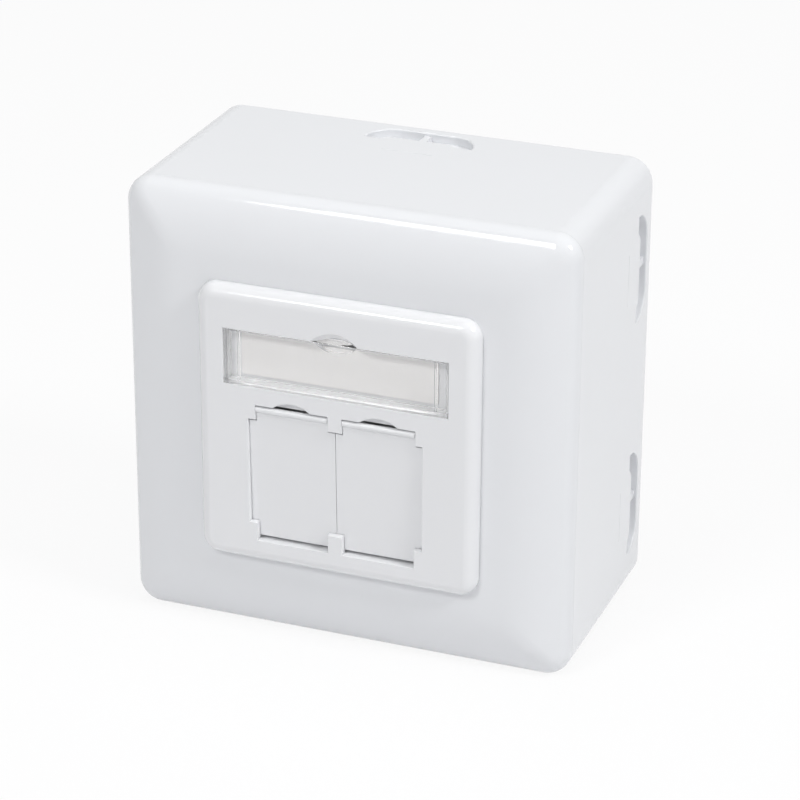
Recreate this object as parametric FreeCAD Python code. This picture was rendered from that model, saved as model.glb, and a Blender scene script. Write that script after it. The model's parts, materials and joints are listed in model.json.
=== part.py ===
import FreeCAD, Part
import math
import os

# Surface mount data outlet: a square wall box with a crowned cover frame, a 50 mm centre plate,
# a clear label window and two hinged dust flaps over slanted 8-way jacks.
#
# It is drawn lying on its back: X to the right, Y up the wall, Z out from the wall.
# The middle of the back face is the origin. Each piece is stood upright as it is saved,
# so that in the saved files the front faces -Y and +Z is up. All sizes are in millimetres.

Vec = FreeCAD.Vector
X_AXIS = Vec(1, 0, 0)
Y_AXIS = Vec(0, 1, 0)
Z_AXIS = Vec(0, 0, 1)
ORIGIN = Vec(0, 0, 0)
PAST = 1.0             # how far a cutter runs past the face that it cuts
SINK = 0.5             # how far a rib or wall reaches into the wall that it grows from
NEAR = 0.01            # closeness when edges are picked by their place

# Wall box
FACE = 80.0            # side of the square box and frame
CORNER_R = 4.5         # upright corners of box and frame
BOX_WALL = 2.2
BACK_WALL = 2.2
SEAM = 38.1            # depth of the joint between box and frame
WALL_SCREW_SPACING = 60.0
WALL_SCREW_R = 2.1
REAR_KNOCKOUT = 20.0   # side of the square cable entry in the back
REAR_GROOVE = 0.8

# Knockouts in the four sides
KNOCKOUT_LENGTH = 19.2
KNOCKOUT_WIDTH = 10.4
KNOCKOUT_END = 0.6     # straight stretch at each end, between the corners
KNOCKOUT_BACK = 2.2    # from the wall to the near edge of a knockout
KNOCKOUT_SPACING = 44.4
GROOVE_WIDTH = 3.2     # along the wall side of the tongue
GROOVE_END = 1.4       # at the two ends of the tongue
GROOVE_DEPTH = 1.3
TONGUE_END = 0.3       # the same on the tongue
GROOVE_STOP = 1.4      # the groove's ends stop this far from the tongue's front edge
CORNER_STEPS = 3       # straight steps that make up each corner of a knockout
KNOCKOUT_BRIDGE = 2.0
BRIDGE_DROP = 0.5      # from the side's face down to the bridge
SCORE_WIDTH = 0.24
SCORE_DEPTH = 0.3

# Cover frame
FRAME_RISE = 5.3       # from the seam to the flat of the frame
FRAME_WALL = 1.8
RIM_UPRIGHT = 0.1      # straight part of the rim above the seam
RIM_INNER_R = 1.2
CROWN_SLOPE = 30.0     # slope where the rim rounding meets the crowned face, degrees
LIP_DEPTH = 2.0        # lip that drops inside the box
LIP_WALL = 1.2
LIP_GAP = 0.1
LIP_ROOT = 2.0         # height of the lip's root inside the frame
COLLAR_WALL = 1.4

# Centre plate
PLATE = 50.0
PLATE_R = 3.2
PLATE_EDGE_R = 2.2
PLATE_PROUD = 2.6      # above the flat of the frame
PLATE_WALL = 2.0
PLATE_SEAT = 0.6       # depth of the step in the frame that the plate sits in
PLATE_GAP = 0.2
SKIRT_INSET = 2.0      # from the plate's edge to its skirt
SKIRT_WALL = 1.2
SKIRT_LIFT = 0.3       # between the skirt and the bracket

# Label window
WINDOW_WIDTH = 40.0
WINDOW_HEIGHT = 9.95
WINDOW_Y = 12.7
WINDOW_GAP = 0.1
PANE = 1.0
TRAY_DEPTH = 2.7
TRAY_END_WALL = 2.3
TRAY_LONG_WALL = 1.0
CARD_THICKNESS = 0.25
CARD_GAP = 0.2
POCKET_WALL = 1.2
POCKET_BASE = 1.6      # floor of the pocket, which the centre screw's head sinks into
NAIL_R = 5.75          # scoop above the window, at the plate's face
NAIL_FLOOR_R = 4.6
NAIL_SLOPE_DEPTH = 0.9
NAIL_DEPTH = 2.2
NAIL_DROP = 3.85       # from the window's top edge down to the scoop's centre
TONGUE_R = 4.35
TONGUE_BACK = 1.0
TONGUE_THICKNESS = 0.6

# Flap opening and hinge
PORT_PITCH = 15.6
OPENING_TOP = 4.45
OPENING_BOTTOM = -20.8
EAR_WIDTH = 1.3
EAR_HEIGHT = 2.65
CENTRE_TAB = 2.54      # width of the hinge block between the flaps
FOOT_TAB_HEIGHT = 3.3
FOOT_TAB_WIDTH = 1.4
FOOT_CENTRE_TAB = 2.6
HINGE_DROP = 1.75      # from the opening's top edge to the hinge axis
HINGE_INSET = 0.95     # from the plate's face to the hinge axis
PIN_R = 0.5
PIN_CLEARANCE = 0.05
PIN_LENGTH = 1.05
CENTRE_PIN_LENGTH = 0.8
BORE_END_GAP = 0.15
EAR_EDGE_R = 0.35

# Dust flaps
FLAP_GAP = 0.15
STRIP_GAP = 0.1
FLAP_HALF_GAP = 0.12   # half of the gap between the two flaps
FLAP_FRONT = 0.45      # front face ahead of the hinge axis
FLAP_BACK = 0.65       # back face behind the hinge axis
FLAP_SHOULDER = 1.25   # from the hinge axis down to the wide part
FLAP_FOOT_GAP = 0.45
FLAP_TILT = 1.7        # closed flaps lean inwards at the foot, degrees
BEAD_R = 0.55
BEAD_UP = 0.95
BEAD_OUT = 0.36
FLAP_REST_GAP = 0.25   # behind the closed flap's foot
FLAP_NAIL_R = 5.6
FLAP_NAIL_RISE = 1.1
FLAP_NAIL_SLOPE = 1.2  # the scoop narrows by this much down to its floor
FLAP_NAIL_DEPTH = 0.5
FLAP_NAIL_LAP = 0.25   # how far the scoop laps over the opening's top edge

# Jacks
JACK_SLANT = 45.0
JACK_WIDTH = 15.1
JACK_HEIGHT = 13.4
JACK_LENGTH = 17.0
JACK_LIP_RISE = 12.3   # from the opening's bottom edge up to the jack's lower lip
JACK_LIP_DEPTH = 12.0  # from the plate's face to the same lip
SHIELD = 0.3
SHIELD_SETBACK = 0.2
MOUTH_WIDTH = 11.9
MOUTH_HEIGHT = 7.0
MOUTH_DEPTH = 12.5
MOUTH_UP = 0.8         # middle of the plug opening above the middle of the jack
LATCH_WIDTH = 6.2
LATCH_DROP = 1.5
LATCH_SLOT_WIDTH = 3.4
LATCH_SLOT_DROP = 1.2
CONTACT_COUNT = 8
CONTACT_PITCH = 1.02
CONTACT_WIRE = 0.4
CONTACT_ENTRY = 1.6    # from the mouth to where a contact wire starts
CONTACT_DROP = 3.4     # how far a contact wire slopes into the opening

# Chute between flaps and jacks
CHUTE_WALL = 1.2
CHUTE_SIDE_GAP = 0.1
CHUTE_CLEARANCE = 0.1
CHUTE_END_GAP = 0.3

# Bracket, module housing and their fixings
BRACKET_DEPTH = 1.1    # from the seam back to the bracket's front
BRACKET_SHEET = 1.0
BRACKET_GAP = 1.4      # between the bracket and the frame's lip
BRACKET_CORNER = 4.0   # cut off each corner of the bracket
BRACKET_SCREW_SPACING = 60.0
POST_HALF = 3.4        # half width of the square screw posts
POST_RIB = 1.6
POST_BORE_DEPTH = 14.0
SCREW_R = 1.35
SCREW_CLEARANCE = 0.05
SCREW_LENGTH = 12.0
HEAD_R = 3.1
HEAD_H = 2.0
HEAD_TAPER = 0.9       # top of a cheese head, share of its radius at the foot
DRIVE_SLOT = 0.26      # width of the driver slot, share of the head's radius
DRIVE_DEPTH = 0.5      # share of the head's height
SLOT_LENGTH = 9.0
SLOT_HALF = 1.7
WINDOW_HALF_X = 20.5   # bracket opening
WINDOW_LOW = -15.5
WINDOW_HIGH = 26.0
FLANGE_T = 1.5
FLANGE_LAP = 2.6       # overlap of the housing's flange behind the bracket
STAKE_LENGTH = 2.6
STAKE_THICKNESS = 1.2
STAKE_GAP = 0.05
SLEEVE_WALL = 1.3
SLEEVE_GAP = 0.1
SLEEVE_SETBACK = 2.5
CHUTE_ROOM = 0.5       # around the chute where it passes the flange
CENTRE_SCREW_R = 1.5
CENTRE_SCREW_LENGTH = 8.6
CENTRE_HEAD_R = 2.8
CENTRE_HEAD_H = 1.3
CENTRE_SLOT = 0.65     # width and depth of its driver slot
CENTRE_BOSS_R = 3.0
BORE_FLOOR = 0.3       # left under the centre screw's tip

# Circuit board, terminals and cable clamp
BOARD_T = 1.6
BOARD_MARGIN = 0.6     # beside the housing's legs
BOARD_LOW = -13.0
BOARD_HIGH = 34.0
BOARD_GAP = 0.1
LEG_BORE_DEPTH = 6.0
LEG_Y = -9.5
LEG_HALF = 2.1
BOARD_SCREW_R = 1.0
BOARD_SCREW_LENGTH = 6.0
BOARD_HEAD_R = 2.0
BOARD_HEAD_H = 1.3
TERMINAL_WIDTH = 19.6
TERMINAL_DEPTH = 9.0
TERMINAL_HEIGHT = 11.0
TERMINAL_GAP = 1.0
TERMINAL_SLOT = 0.9
TERMINAL_SLOT_DEPTH = 5.0
TERMINAL_PITCH = 2.3
BLADE_T = 0.5
BLADE_HEIGHT = 3.6
BLADE_LENGTH = 4.5
BLADE_ROOT = 1.2       # below the split that grips the wire
CLAMP_WIDTH = 4.4
CLAMP_SHEET = 1.0
CLAMP_ARCH_R = 5.5
CLAMP_FOOT = 5.0
CLAMP_Y = 30.4
CLAMP_SCREW_R = 1.1
CLAMP_SCREW_LENGTH = 4.2

# Depths that follow from the sizes above
HALF = FACE / 2.0
FRAME_FACE = SEAM + FRAME_RISE
PLATE_FACE = FRAME_FACE + PLATE_PROUD
PLATE_FOOT = FRAME_FACE - PLATE_SEAT
PLATE_REAR = PLATE_FACE - PLATE_WALL
BRACKET_FRONT = SEAM - BRACKET_DEPTH
BRACKET_BACK = BRACKET_FRONT - BRACKET_SHEET
FLANGE_BACK = BRACKET_BACK - FLANGE_T
SKIRT = PLATE - 2.0 * SKIRT_INSET
COLLAR_OPENING = SKIRT + 2.0 * PLATE_GAP
BRACKET = FACE - 2.0 * (BOX_WALL + LIP_GAP + LIP_WALL + BRACKET_GAP)
POCKET_FLOOR = PLATE_FACE - TRAY_DEPTH - WINDOW_GAP
HINGE_Y = OPENING_TOP - HINGE_DROP
HINGE_Z = PLATE_FACE - HINGE_INSET
BORE_R = PIN_R + PIN_CLEARANCE
FLAP_TAIL = HINGE_Y - OPENING_BOTTOM - FLAP_FOOT_GAP
LEDGE_TOP = HINGE_Z - FLAP_BACK - FLAP_TAIL * math.sin(math.radians(FLAP_TILT)) - FLAP_REST_GAP
PORT_X = PORT_PITCH / 2.0
EAR_X = PORT_PITCH - EAR_WIDTH

# The jacks' own frame: X right, Y up in the plane of the mouth, Z out of the mouth
SLANT_COS = math.cos(math.radians(JACK_SLANT))
SLANT_SIN = math.sin(math.radians(JACK_SLANT))
LIP_Y = OPENING_BOTTOM + JACK_LIP_RISE
LIP_Z = PLATE_FACE - JACK_LIP_DEPTH
MOUTH_Y = LIP_Y + JACK_HEIGHT / 2.0 * SLANT_COS
MOUTH_Z = LIP_Z + JACK_HEIGHT / 2.0 * SLANT_SIN
BOARD_FRONT = LIP_Z - JACK_LENGTH * SLANT_COS - BOARD_GAP
BOARD_BACK = BOARD_FRONT - BOARD_T
PAIR_HALF = PORT_X + JACK_WIDTH / 2.0
CAVITY_HALF_X = PAIR_HALF + SLEEVE_GAP
CAVITY_HALF_Y = JACK_HEIGHT / 2.0 + SLEEVE_GAP
SLEEVE_HALF_X = CAVITY_HALF_X + SLEEVE_WALL
SLEEVE_HALF_Y = CAVITY_HALF_Y + SLEEVE_WALL
CHUTE_HALF = PORT_PITCH + CHUTE_SIDE_GAP + CHUTE_WALL + CHUTE_ROOM
LEG_X = CHUTE_HALF + LEG_HALF
BOARD_HALF_X = LEG_X + LEG_HALF + BOARD_MARGIN
TERMINAL_LOW = MOUTH_Y + SLEEVE_HALF_Y * SLANT_COS + JACK_LENGTH * SLANT_SIN + TERMINAL_GAP


# Plain shapes
def block(x0, x1, y0, y1, z0, z1):
    return Part.makeBox(x1 - x0, y1 - y0, z1 - z0, Vec(x0, y0, z0))


def square(side, z0, z1):
    return block(-side / 2.0, side / 2.0, -side / 2.0, side / 2.0, z0, z1)


def slab(width, height, radius, z0, z1, y=0.0):
    """A plate with rounded upright corners, centred on X = 0."""
    plate = block(-width / 2.0, width / 2.0, y - height / 2.0, y + height / 2.0, z0, z1)
    upright = [edge for edge in plate.Edges if abs(edge.tangentAt(edge.FirstParameter).z) > 1.0 - NEAR]
    return plate.makeFillet(radius, upright)


def stepped_slab(width, height, radius, z0, z1, y=0.0):
    """Like slab, with each corner made of a few straight steps."""
    points = []
    for quarter in range(4):
        sign_x = 1 if quarter in (0, 3) else -1
        sign_y = 1 if quarter in (0, 1) else -1
        centre = Vec(sign_x * (width / 2.0 - radius), y + sign_y * (height / 2.0 - radius), z0)
        for step in range(CORNER_STEPS + 1):
            angle = math.radians(90.0 * (quarter + step / CORNER_STEPS))
            points.append(centre + Vec(radius * math.cos(angle), radius * math.sin(angle), 0))
    return Part.Face(Part.makePolygon(points + points[:1])).extrude(Vec(0, 0, z1 - z0))


def rod(radius, length, x, y, z, direction=Z_AXIS):
    return Part.makeCylinder(radius, length, Vec(x, y, z), direction)


def across(points, x0, x1):
    """A profile given as (y, z) points, run from x0 to x1."""
    corners = [Vec(x0, y, z) for y, z in points]
    return Part.Face(Part.makePolygon(corners + corners[:1])).extrude(Vec(x1 - x0, 0, 0))


def fused(pieces):
    return pieces[0].multiFuse(pieces[1:]).removeSplitter()


def moved(shape, x, y, z):
    copy = shape.copy()
    copy.translate(Vec(x, y, z))
    return copy


def turned(shape, angle, axis=Z_AXIS):
    copy = shape.copy()
    copy.rotate(ORIGIN, axis, angle)
    return copy


def mirrored(shape):
    return shape.mirror(ORIGIN, X_AXIS)


def slanted(shape, x=0.0):
    """Turn a shape from the jacks' frame into the outlet's frame."""
    copy = shape.copy()
    copy.rotate(ORIGIN, X_AXIS, JACK_SLANT)
    copy.translate(Vec(x, MOUTH_Y, MOUTH_Z))
    return copy


def slotted_screw(head_r, head_h, shank_r, length):
    """A cheese head screw: its head stands on Z = 0 and its shank points down."""
    head = Part.makeCone(head_r, head_r * HEAD_TAPER, head_h)
    slot_half = head_r * DRIVE_SLOT / 2.0
    slot = block(-head_r - PAST, head_r + PAST, -slot_half, slot_half,
                 head_h * (1.0 - DRIVE_DEPTH), head_h + PAST)
    return fused([head.cut(slot), rod(shank_r, length, 0, 0, -length)])


# Wall box
def knockout_groove():
    """Cutter for one knockout, on a wall whose outer face is Y = 0, centred on X = 0."""
    score_low = KNOCKOUT_BACK + KNOCKOUT_WIDTH - SCORE_WIDTH / 2.0
    corner_r = (KNOCKOUT_WIDTH - KNOCKOUT_END) / 2.0
    outer = stepped_slab(KNOCKOUT_LENGTH, KNOCKOUT_WIDTH, corner_r, 0, GROOVE_DEPTH + PAST)
    tongue_width = KNOCKOUT_WIDTH - GROOVE_WIDTH
    tongue_r = (tongue_width - TONGUE_END) / 2.0
    tongue = stepped_slab(KNOCKOUT_LENGTH - 2.0 * GROOVE_END, tongue_width, tongue_r,
                          -PAST, GROOVE_DEPTH + 2.0 * PAST, -GROOVE_WIDTH / 2.0)
    bridge = block(-KNOCKOUT_BRIDGE / 2.0, KNOCKOUT_BRIDGE / 2.0, 0, KNOCKOUT_WIDTH,
                   PAST + BRIDGE_DROP, GROOVE_DEPTH + 2.0 * PAST)
    front = block(-FACE, FACE, -KNOCKOUT_WIDTH, GROOVE_STOP - KNOCKOUT_WIDTH / 2.0, -PAST, FACE)
    groove = outer.cut([tongue, bridge, front])
    groove = turned(groove, 90.0, X_AXIS)
    groove = moved(groove, 0, PAST, KNOCKOUT_BACK + KNOCKOUT_WIDTH / 2.0)
    groove = groove.mirror(Vec(0, 0, KNOCKOUT_BACK + KNOCKOUT_WIDTH / 2.0), Z_AXIS)
    score_half = KNOCKOUT_LENGTH / 2.0 - corner_r
    score = block(-score_half, score_half, -SCORE_DEPTH, PAST, score_low, score_low + SCORE_WIDTH)
    return groove.fuse(score)


def back_box():
    shell = slab(FACE, FACE, CORNER_R, 0, SEAM)
    inside = FACE - 2.0 * BOX_WALL
    hollow = slab(inside, inside, CORNER_R - BOX_WALL, BACK_WALL, SEAM + PAST)
    shell = shell.cut(hollow)
    additions = [shell]
    for side in (-1, 1):
        post_x = side * BRACKET_SCREW_SPACING / 2.0
        additions.append(block(post_x - POST_HALF, post_x + POST_HALF, -POST_HALF, POST_HALF,
                               BACK_WALL, BRACKET_BACK))
        ends = sorted((post_x, side * (HALF - BOX_WALL / 2.0)))
        additions.append(block(ends[0], ends[1], -POST_RIB / 2.0, POST_RIB / 2.0,
                               BACK_WALL, SEAM - LIP_DEPTH - LIP_ROOT))
    box = fused(additions)
    cutters = []
    groove = knockout_groove()
    for quarter in range(4):
        offsets = (0.0,) if quarter % 2 == 0 else (-KNOCKOUT_SPACING / 2.0, KNOCKOUT_SPACING / 2.0)
        for offset in offsets:
            cutters.append(turned(moved(groove, offset, HALF, 0), 90.0 * quarter))
    for side in (-1, 1):
        cutters.append(rod(SCREW_R + SCREW_CLEARANCE, POST_BORE_DEPTH + PAST,
                           side * BRACKET_SCREW_SPACING / 2.0, 0, BRACKET_BACK - POST_BORE_DEPTH))
        cutters.append(rod(WALL_SCREW_R, BACK_WALL + 2.0 * PAST, 0, side * WALL_SCREW_SPACING / 2.0, -PAST))
    entry = REAR_KNOCKOUT / 2.0
    tongue = entry - REAR_GROOVE
    ring = block(-entry, entry, -entry, entry, -PAST, BACK_WALL / 2.0)
    ring = ring.cut(block(-tongue, tongue, -tongue, tongue, -PAST, BACK_WALL))
    ring = ring.cut(block(-KNOCKOUT_BRIDGE / 2.0, KNOCKOUT_BRIDGE / 2.0, -HALF, HALF, -PAST, BACK_WALL))
    cutters.append(ring)
    return box.cut(cutters)


# Cover frame
def crown_profile(half, base, rim_top, rim_r, face):
    """Section in the plane X = 0: upright sides, a rounded rim and a gently crowned face."""
    slope = math.radians(CROWN_SLOPE)
    crown_r = (face - rim_top - rim_r * math.cos(slope)) / (1.0 - math.cos(slope))
    crown_y = half - rim_r * (1.0 - math.sin(slope)) - crown_r * math.sin(slope)

    def on_rim(angle):
        return Vec(0, half - rim_r + rim_r * math.cos(angle), rim_top + rim_r * math.sin(angle))

    def on_crown(angle):
        return Vec(0, crown_y + crown_r * math.sin(angle), face - crown_r + crown_r * math.cos(angle))

    def other_side(point):
        return Vec(0, -point.y, point.z)

    steep = math.pi / 2.0 - slope
    foot = Vec(0, half, base)
    arcs = [(on_rim(0), on_rim(steep / 2.0), on_rim(steep)),
            (on_crown(slope), on_crown(slope / 2.0), on_crown(0))]
    edges = [Part.LineSegment(foot, arcs[0][0]).toShape()]
    edges += [Part.Arc(*arc).toShape() for arc in arcs]
    edges.append(Part.LineSegment(arcs[1][2], other_side(arcs[1][2])).toShape())
    edges += [Part.Arc(*[other_side(point) for point in reversed(arc)]).toShape() for arc in reversed(arcs)]
    edges.append(Part.LineSegment(other_side(arcs[0][0]), other_side(foot)).toShape())
    edges.append(Part.LineSegment(other_side(foot), foot).toShape())
    return Part.Face(Part.Wire(edges))


def mitred(profile, half):
    """The profile run along both directions of the square, so that its corners are mitred."""
    along = moved(profile, -half, 0, 0).extrude(Vec(2.0 * half, 0, 0))
    return along.common(turned(along, 90.0))


def round_corners(body, profile, half, corner_r):
    """Swing the profile's edge round each corner in place of the mitre."""
    centre = half - corner_r
    corner_area = block(centre, half + PAST, centre, half + PAST, 0, FACE)
    strip = moved(profile, centre, 0, 0).common(block(centre - PAST, centre + PAST, centre, half, 0, FACE))
    swung = strip.Faces[0].revolve(Vec(centre, centre, 0), Vec(0, 0, -1), 90.0)
    body = body.cut([turned(corner_area, 90.0 * quarter) for quarter in range(4)])
    return fused([body] + [turned(swung, 90.0 * quarter) for quarter in range(4)])


def cover_frame():
    rim_top = SEAM + RIM_UPRIGHT
    profile = crown_profile(HALF, SEAM, rim_top, FRAME_WALL + RIM_INNER_R, FRAME_FACE)
    outer = round_corners(mitred(profile, HALF), profile, HALF, CORNER_R)
    inside = HALF - FRAME_WALL
    hollow = mitred(crown_profile(inside, SEAM - PAST, rim_top, RIM_INNER_R, FRAME_FACE - FRAME_WALL), inside)
    corner = math.sqrt(2.0) * (HALF - CORNER_R) + CORNER_R - FRAME_WALL
    hollow = hollow.common(turned(block(-corner, corner, -corner, corner, 0, FACE), 45.0))
    lip = FACE - 2.0 * (BOX_WALL + LIP_GAP)
    lip_ring = slab(lip, lip, CORNER_R - BOX_WALL - LIP_GAP, SEAM - LIP_DEPTH, SEAM + LIP_ROOT)
    lip_ring = lip_ring.cut(square(lip - 2.0 * LIP_WALL, 0, FACE))
    collar_ring = square(COLLAR_OPENING + 2.0 * COLLAR_WALL, BRACKET_FRONT, PLATE_FOOT)
    frame = fused([outer.cut(hollow), lip_ring, collar_ring])
    seat = PLATE + 2.0 * PLATE_GAP
    seat_cut = slab(seat, seat, PLATE_R + PLATE_GAP, PLATE_FOOT, FRAME_FACE + PAST)
    return frame.cut([seat_cut, square(COLLAR_OPENING, 0, FACE)])


# Centre plate
def flap_opening():
    """The hole for both flaps, less the hinge ears, the centre blocks and the foot tabs."""
    hole = block(-PORT_PITCH, PORT_PITCH, OPENING_BOTTOM, OPENING_TOP, LEDGE_TOP, PLATE_FACE + PAST)
    keep = [block(-CENTRE_TAB / 2.0, CENTRE_TAB / 2.0, OPENING_TOP - EAR_HEIGHT, OPENING_TOP, 0, FACE),
            block(-FOOT_CENTRE_TAB / 2.0, FOOT_CENTRE_TAB / 2.0, OPENING_BOTTOM,
                  OPENING_BOTTOM + FOOT_TAB_HEIGHT, 0, FACE)]
    ear = block(EAR_X, PORT_PITCH, OPENING_TOP - EAR_HEIGHT, OPENING_TOP, 0, FACE)
    foot = block(PORT_PITCH - FOOT_TAB_WIDTH, PORT_PITCH, OPENING_BOTTOM,
                 OPENING_BOTTOM + FOOT_TAB_HEIGHT, 0, FACE)
    keep += [ear, mirrored(ear), foot, mirrored(foot)]
    return hole.cut(keep)


def chute():
    """Side cheeks, ledge and sloping floor that lead a plug from the opening to the jacks."""
    cheek_in = PORT_PITCH + CHUTE_SIDE_GAP
    cheek_out = cheek_in + CHUTE_WALL
    floor_top = -JACK_HEIGHT / 2.0 - CHUTE_CLEARANCE
    floor_low = floor_top - CHUTE_WALL
    reach = FACE / 2.0
    cheek = slanted(block(cheek_in, cheek_out, floor_low, reach, CHUTE_END_GAP, reach))
    ramp = slanted(block(-cheek_out, cheek_out, floor_low, floor_top, CHUTE_END_GAP, reach))
    foot_y = OPENING_BOTTOM - CHUTE_WALL
    room = block(-cheek_out, cheek_out, foot_y, OPENING_TOP, 0, PLATE_REAR + SINK)
    below_ledge = block(-cheek_out, cheek_out, foot_y, OPENING_TOP, 0, LEDGE_TOP)
    out = (LEDGE_TOP - MOUTH_Z - floor_top * SLANT_SIN) / SLANT_COS
    ledge_end = MOUTH_Y + floor_top * SLANT_COS - out * SLANT_SIN
    ledge = block(-cheek_out, cheek_out, foot_y, ledge_end, LEDGE_TOP - CHUTE_WALL, LEDGE_TOP)
    foot = block(-cheek_out, cheek_out, foot_y, OPENING_BOTTOM, LEDGE_TOP - CHUTE_WALL,
                 PLATE_REAR + SINK)
    return [cheek.common(room), mirrored(cheek).common(room), ramp.common(below_ledge), ledge, foot]


def scoop(radius, floor_r, slope_depth, depth, x, y):
    """Cutter for a finger nail scoop: a cone at the face and a straight pocket below it."""
    over = PAST * (radius - floor_r) / slope_depth
    cone = Part.makeCone(floor_r, radius + over, slope_depth + PAST, Vec(x, y, PLATE_FACE - slope_depth))
    return cone.fuse(rod(floor_r, depth, x, y, PLATE_FACE - depth))


def centre_plate():
    plate = slab(PLATE, PLATE, PLATE_R, PLATE_FOOT, PLATE_FACE)
    rim = [edge for edge in plate.Edges if edge.BoundBox.ZMin > PLATE_FACE - NEAR]
    plate = plate.makeFillet(PLATE_EDGE_R, rim)
    inside = SKIRT - 2.0 * SKIRT_WALL
    plate = plate.cut(square(inside, PLATE_FOOT - PAST, PLATE_REAR))
    skirt = square(SKIRT, BRACKET_FRONT + SKIRT_LIFT, PLATE_FOOT + SINK).cut(square(inside, 0, FACE))
    pocket_x = WINDOW_WIDTH / 2.0 + WINDOW_GAP
    pocket_y = WINDOW_HEIGHT / 2.0 + WINDOW_GAP
    pocket_block = block(-pocket_x - POCKET_WALL, pocket_x + POCKET_WALL, WINDOW_Y - pocket_y - POCKET_WALL,
                         WINDOW_Y + pocket_y + POCKET_WALL, POCKET_FLOOR - POCKET_BASE,
                         PLATE_REAR + SINK)
    plate = fused([plate, skirt, pocket_block] + chute())
    pocket = block(-pocket_x, pocket_x, WINDOW_Y - pocket_y, WINDOW_Y + pocket_y, POCKET_FLOOR,
                   PLATE_FACE + PAST)
    screw_hole = rod(CENTRE_SCREW_R + SCREW_CLEARANCE, FACE, 0, WINDOW_Y, 0)
    countersink = Part.makeCone(CENTRE_SCREW_R + SCREW_CLEARANCE, CENTRE_HEAD_R + SCREW_CLEARANCE,
                                CENTRE_HEAD_H, Vec(0, WINDOW_Y, POCKET_FLOOR - CENTRE_HEAD_H))
    window_top = WINDOW_Y + WINDOW_HEIGHT / 2.0
    nail = scoop(NAIL_R, NAIL_FLOOR_R, NAIL_SLOPE_DEPTH, NAIL_DEPTH, 0, window_top - NAIL_DROP)
    above_middle = block(-PLATE, PLATE, WINDOW_Y, PLATE, 0, FACE)
    cutters = [pocket, screw_hole, countersink, nail.common(above_middle), flap_opening()]
    above_opening = block(-PLATE, PLATE, OPENING_TOP - FLAP_NAIL_LAP, PLATE, 0, FACE)
    moon_y = OPENING_TOP + FLAP_NAIL_RISE - FLAP_NAIL_R
    for side in (-1, 1):
        moon = scoop(FLAP_NAIL_R, FLAP_NAIL_R - FLAP_NAIL_SLOPE, FLAP_NAIL_DEPTH, FLAP_NAIL_DEPTH,
                     side * PORT_X, moon_y)
        cutters.append(moon.common(above_opening))
    bore_end = EAR_X + PIN_LENGTH + BORE_END_GAP
    cutters.append(rod(BORE_R, 2.0 * bore_end, -bore_end, HINGE_Y, HINGE_Z, X_AXIS))
    return plate.cut(cutters)


def ear_rounding(plate):
    """Round the lower front edges of the hinge ears and of the block between the flaps."""
    ear_low = OPENING_TOP - EAR_HEIGHT
    edges = [edge for edge in plate.Edges
             if abs(edge.CenterOfMass.y - ear_low) < NEAR and abs(edge.CenterOfMass.z - PLATE_FACE) < NEAR]
    return plate.makeFillet(EAR_EDGE_R, edges)


# Label window and card
def label_window():
    half_x = WINDOW_WIDTH / 2.0
    half_y = WINDOW_HEIGHT / 2.0
    tray = block(-half_x, half_x, WINDOW_Y - half_y, WINDOW_Y + half_y, PLATE_FACE - TRAY_DEPTH, PLATE_FACE)
    inner_x = half_x - TRAY_END_WALL
    inner_y = half_y - TRAY_LONG_WALL
    tray = tray.cut(block(-inner_x, inner_x, WINDOW_Y - inner_y, WINDOW_Y + inner_y,
                          PLATE_FACE - TRAY_DEPTH - PAST, PLATE_FACE - PANE))
    top = WINDOW_Y + half_y
    tongue = rod(TONGUE_R, TONGUE_THICKNESS, 0, top - NAIL_DROP, PLATE_FACE - TONGUE_BACK)
    tongue = tongue.common(block(-half_x, half_x, top - TRAY_LONG_WALL / 2.0, PLATE, 0, FACE))
    return fused([tray, tongue])


def label_card():
    half_x = WINDOW_WIDTH / 2.0 - TRAY_END_WALL - CARD_GAP
    half_y = WINDOW_HEIGHT / 2.0 - TRAY_LONG_WALL - CARD_GAP
    return block(-half_x, half_x, WINDOW_Y - half_y, WINDOW_Y + half_y, POCKET_FLOOR,
                 POCKET_FLOOR + CARD_THICKNESS)


# Dust flaps
def dust_flap():
    """The right-hand flap, drawn round its hinge axis, then leaned in and set in its bearings."""
    strip_in = CENTRE_TAB / 2.0 + STRIP_GAP
    strip_out = EAR_X - STRIP_GAP
    shoulder = -FLAP_SHOULDER
    knee = OPENING_BOTTOM + FOOT_TAB_HEIGHT + FLAP_GAP - HINGE_Y
    wide = block(FLAP_HALF_GAP, PORT_PITCH - FLAP_GAP, knee, shoulder, -FLAP_BACK, FLAP_FRONT)
    foot = block(FOOT_CENTRE_TAB / 2.0 + FLAP_GAP, PORT_PITCH - FOOT_TAB_WIDTH - FLAP_GAP, -FLAP_TAIL,
                 knee + PAST, -FLAP_BACK, FLAP_FRONT)
    strip = block(strip_in, strip_out, shoulder - PAST, BEAD_UP, -FLAP_BACK, FLAP_FRONT)
    bead = rod(BEAD_R, strip_out - strip_in, strip_in, BEAD_UP, BEAD_OUT, X_AXIS)
    inner_end = CENTRE_TAB / 2.0 - CENTRE_PIN_LENGTH
    outer_end = EAR_X + PIN_LENGTH
    pin = rod(PIN_R, outer_end - inner_end, inner_end, 0, 0, X_AXIS)
    flap = fused([wide, foot, strip, bead, pin])
    flap = turned(flap, FLAP_TILT, X_AXIS)
    return moved(flap, 0, HINGE_Y, HINGE_Z)


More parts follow.
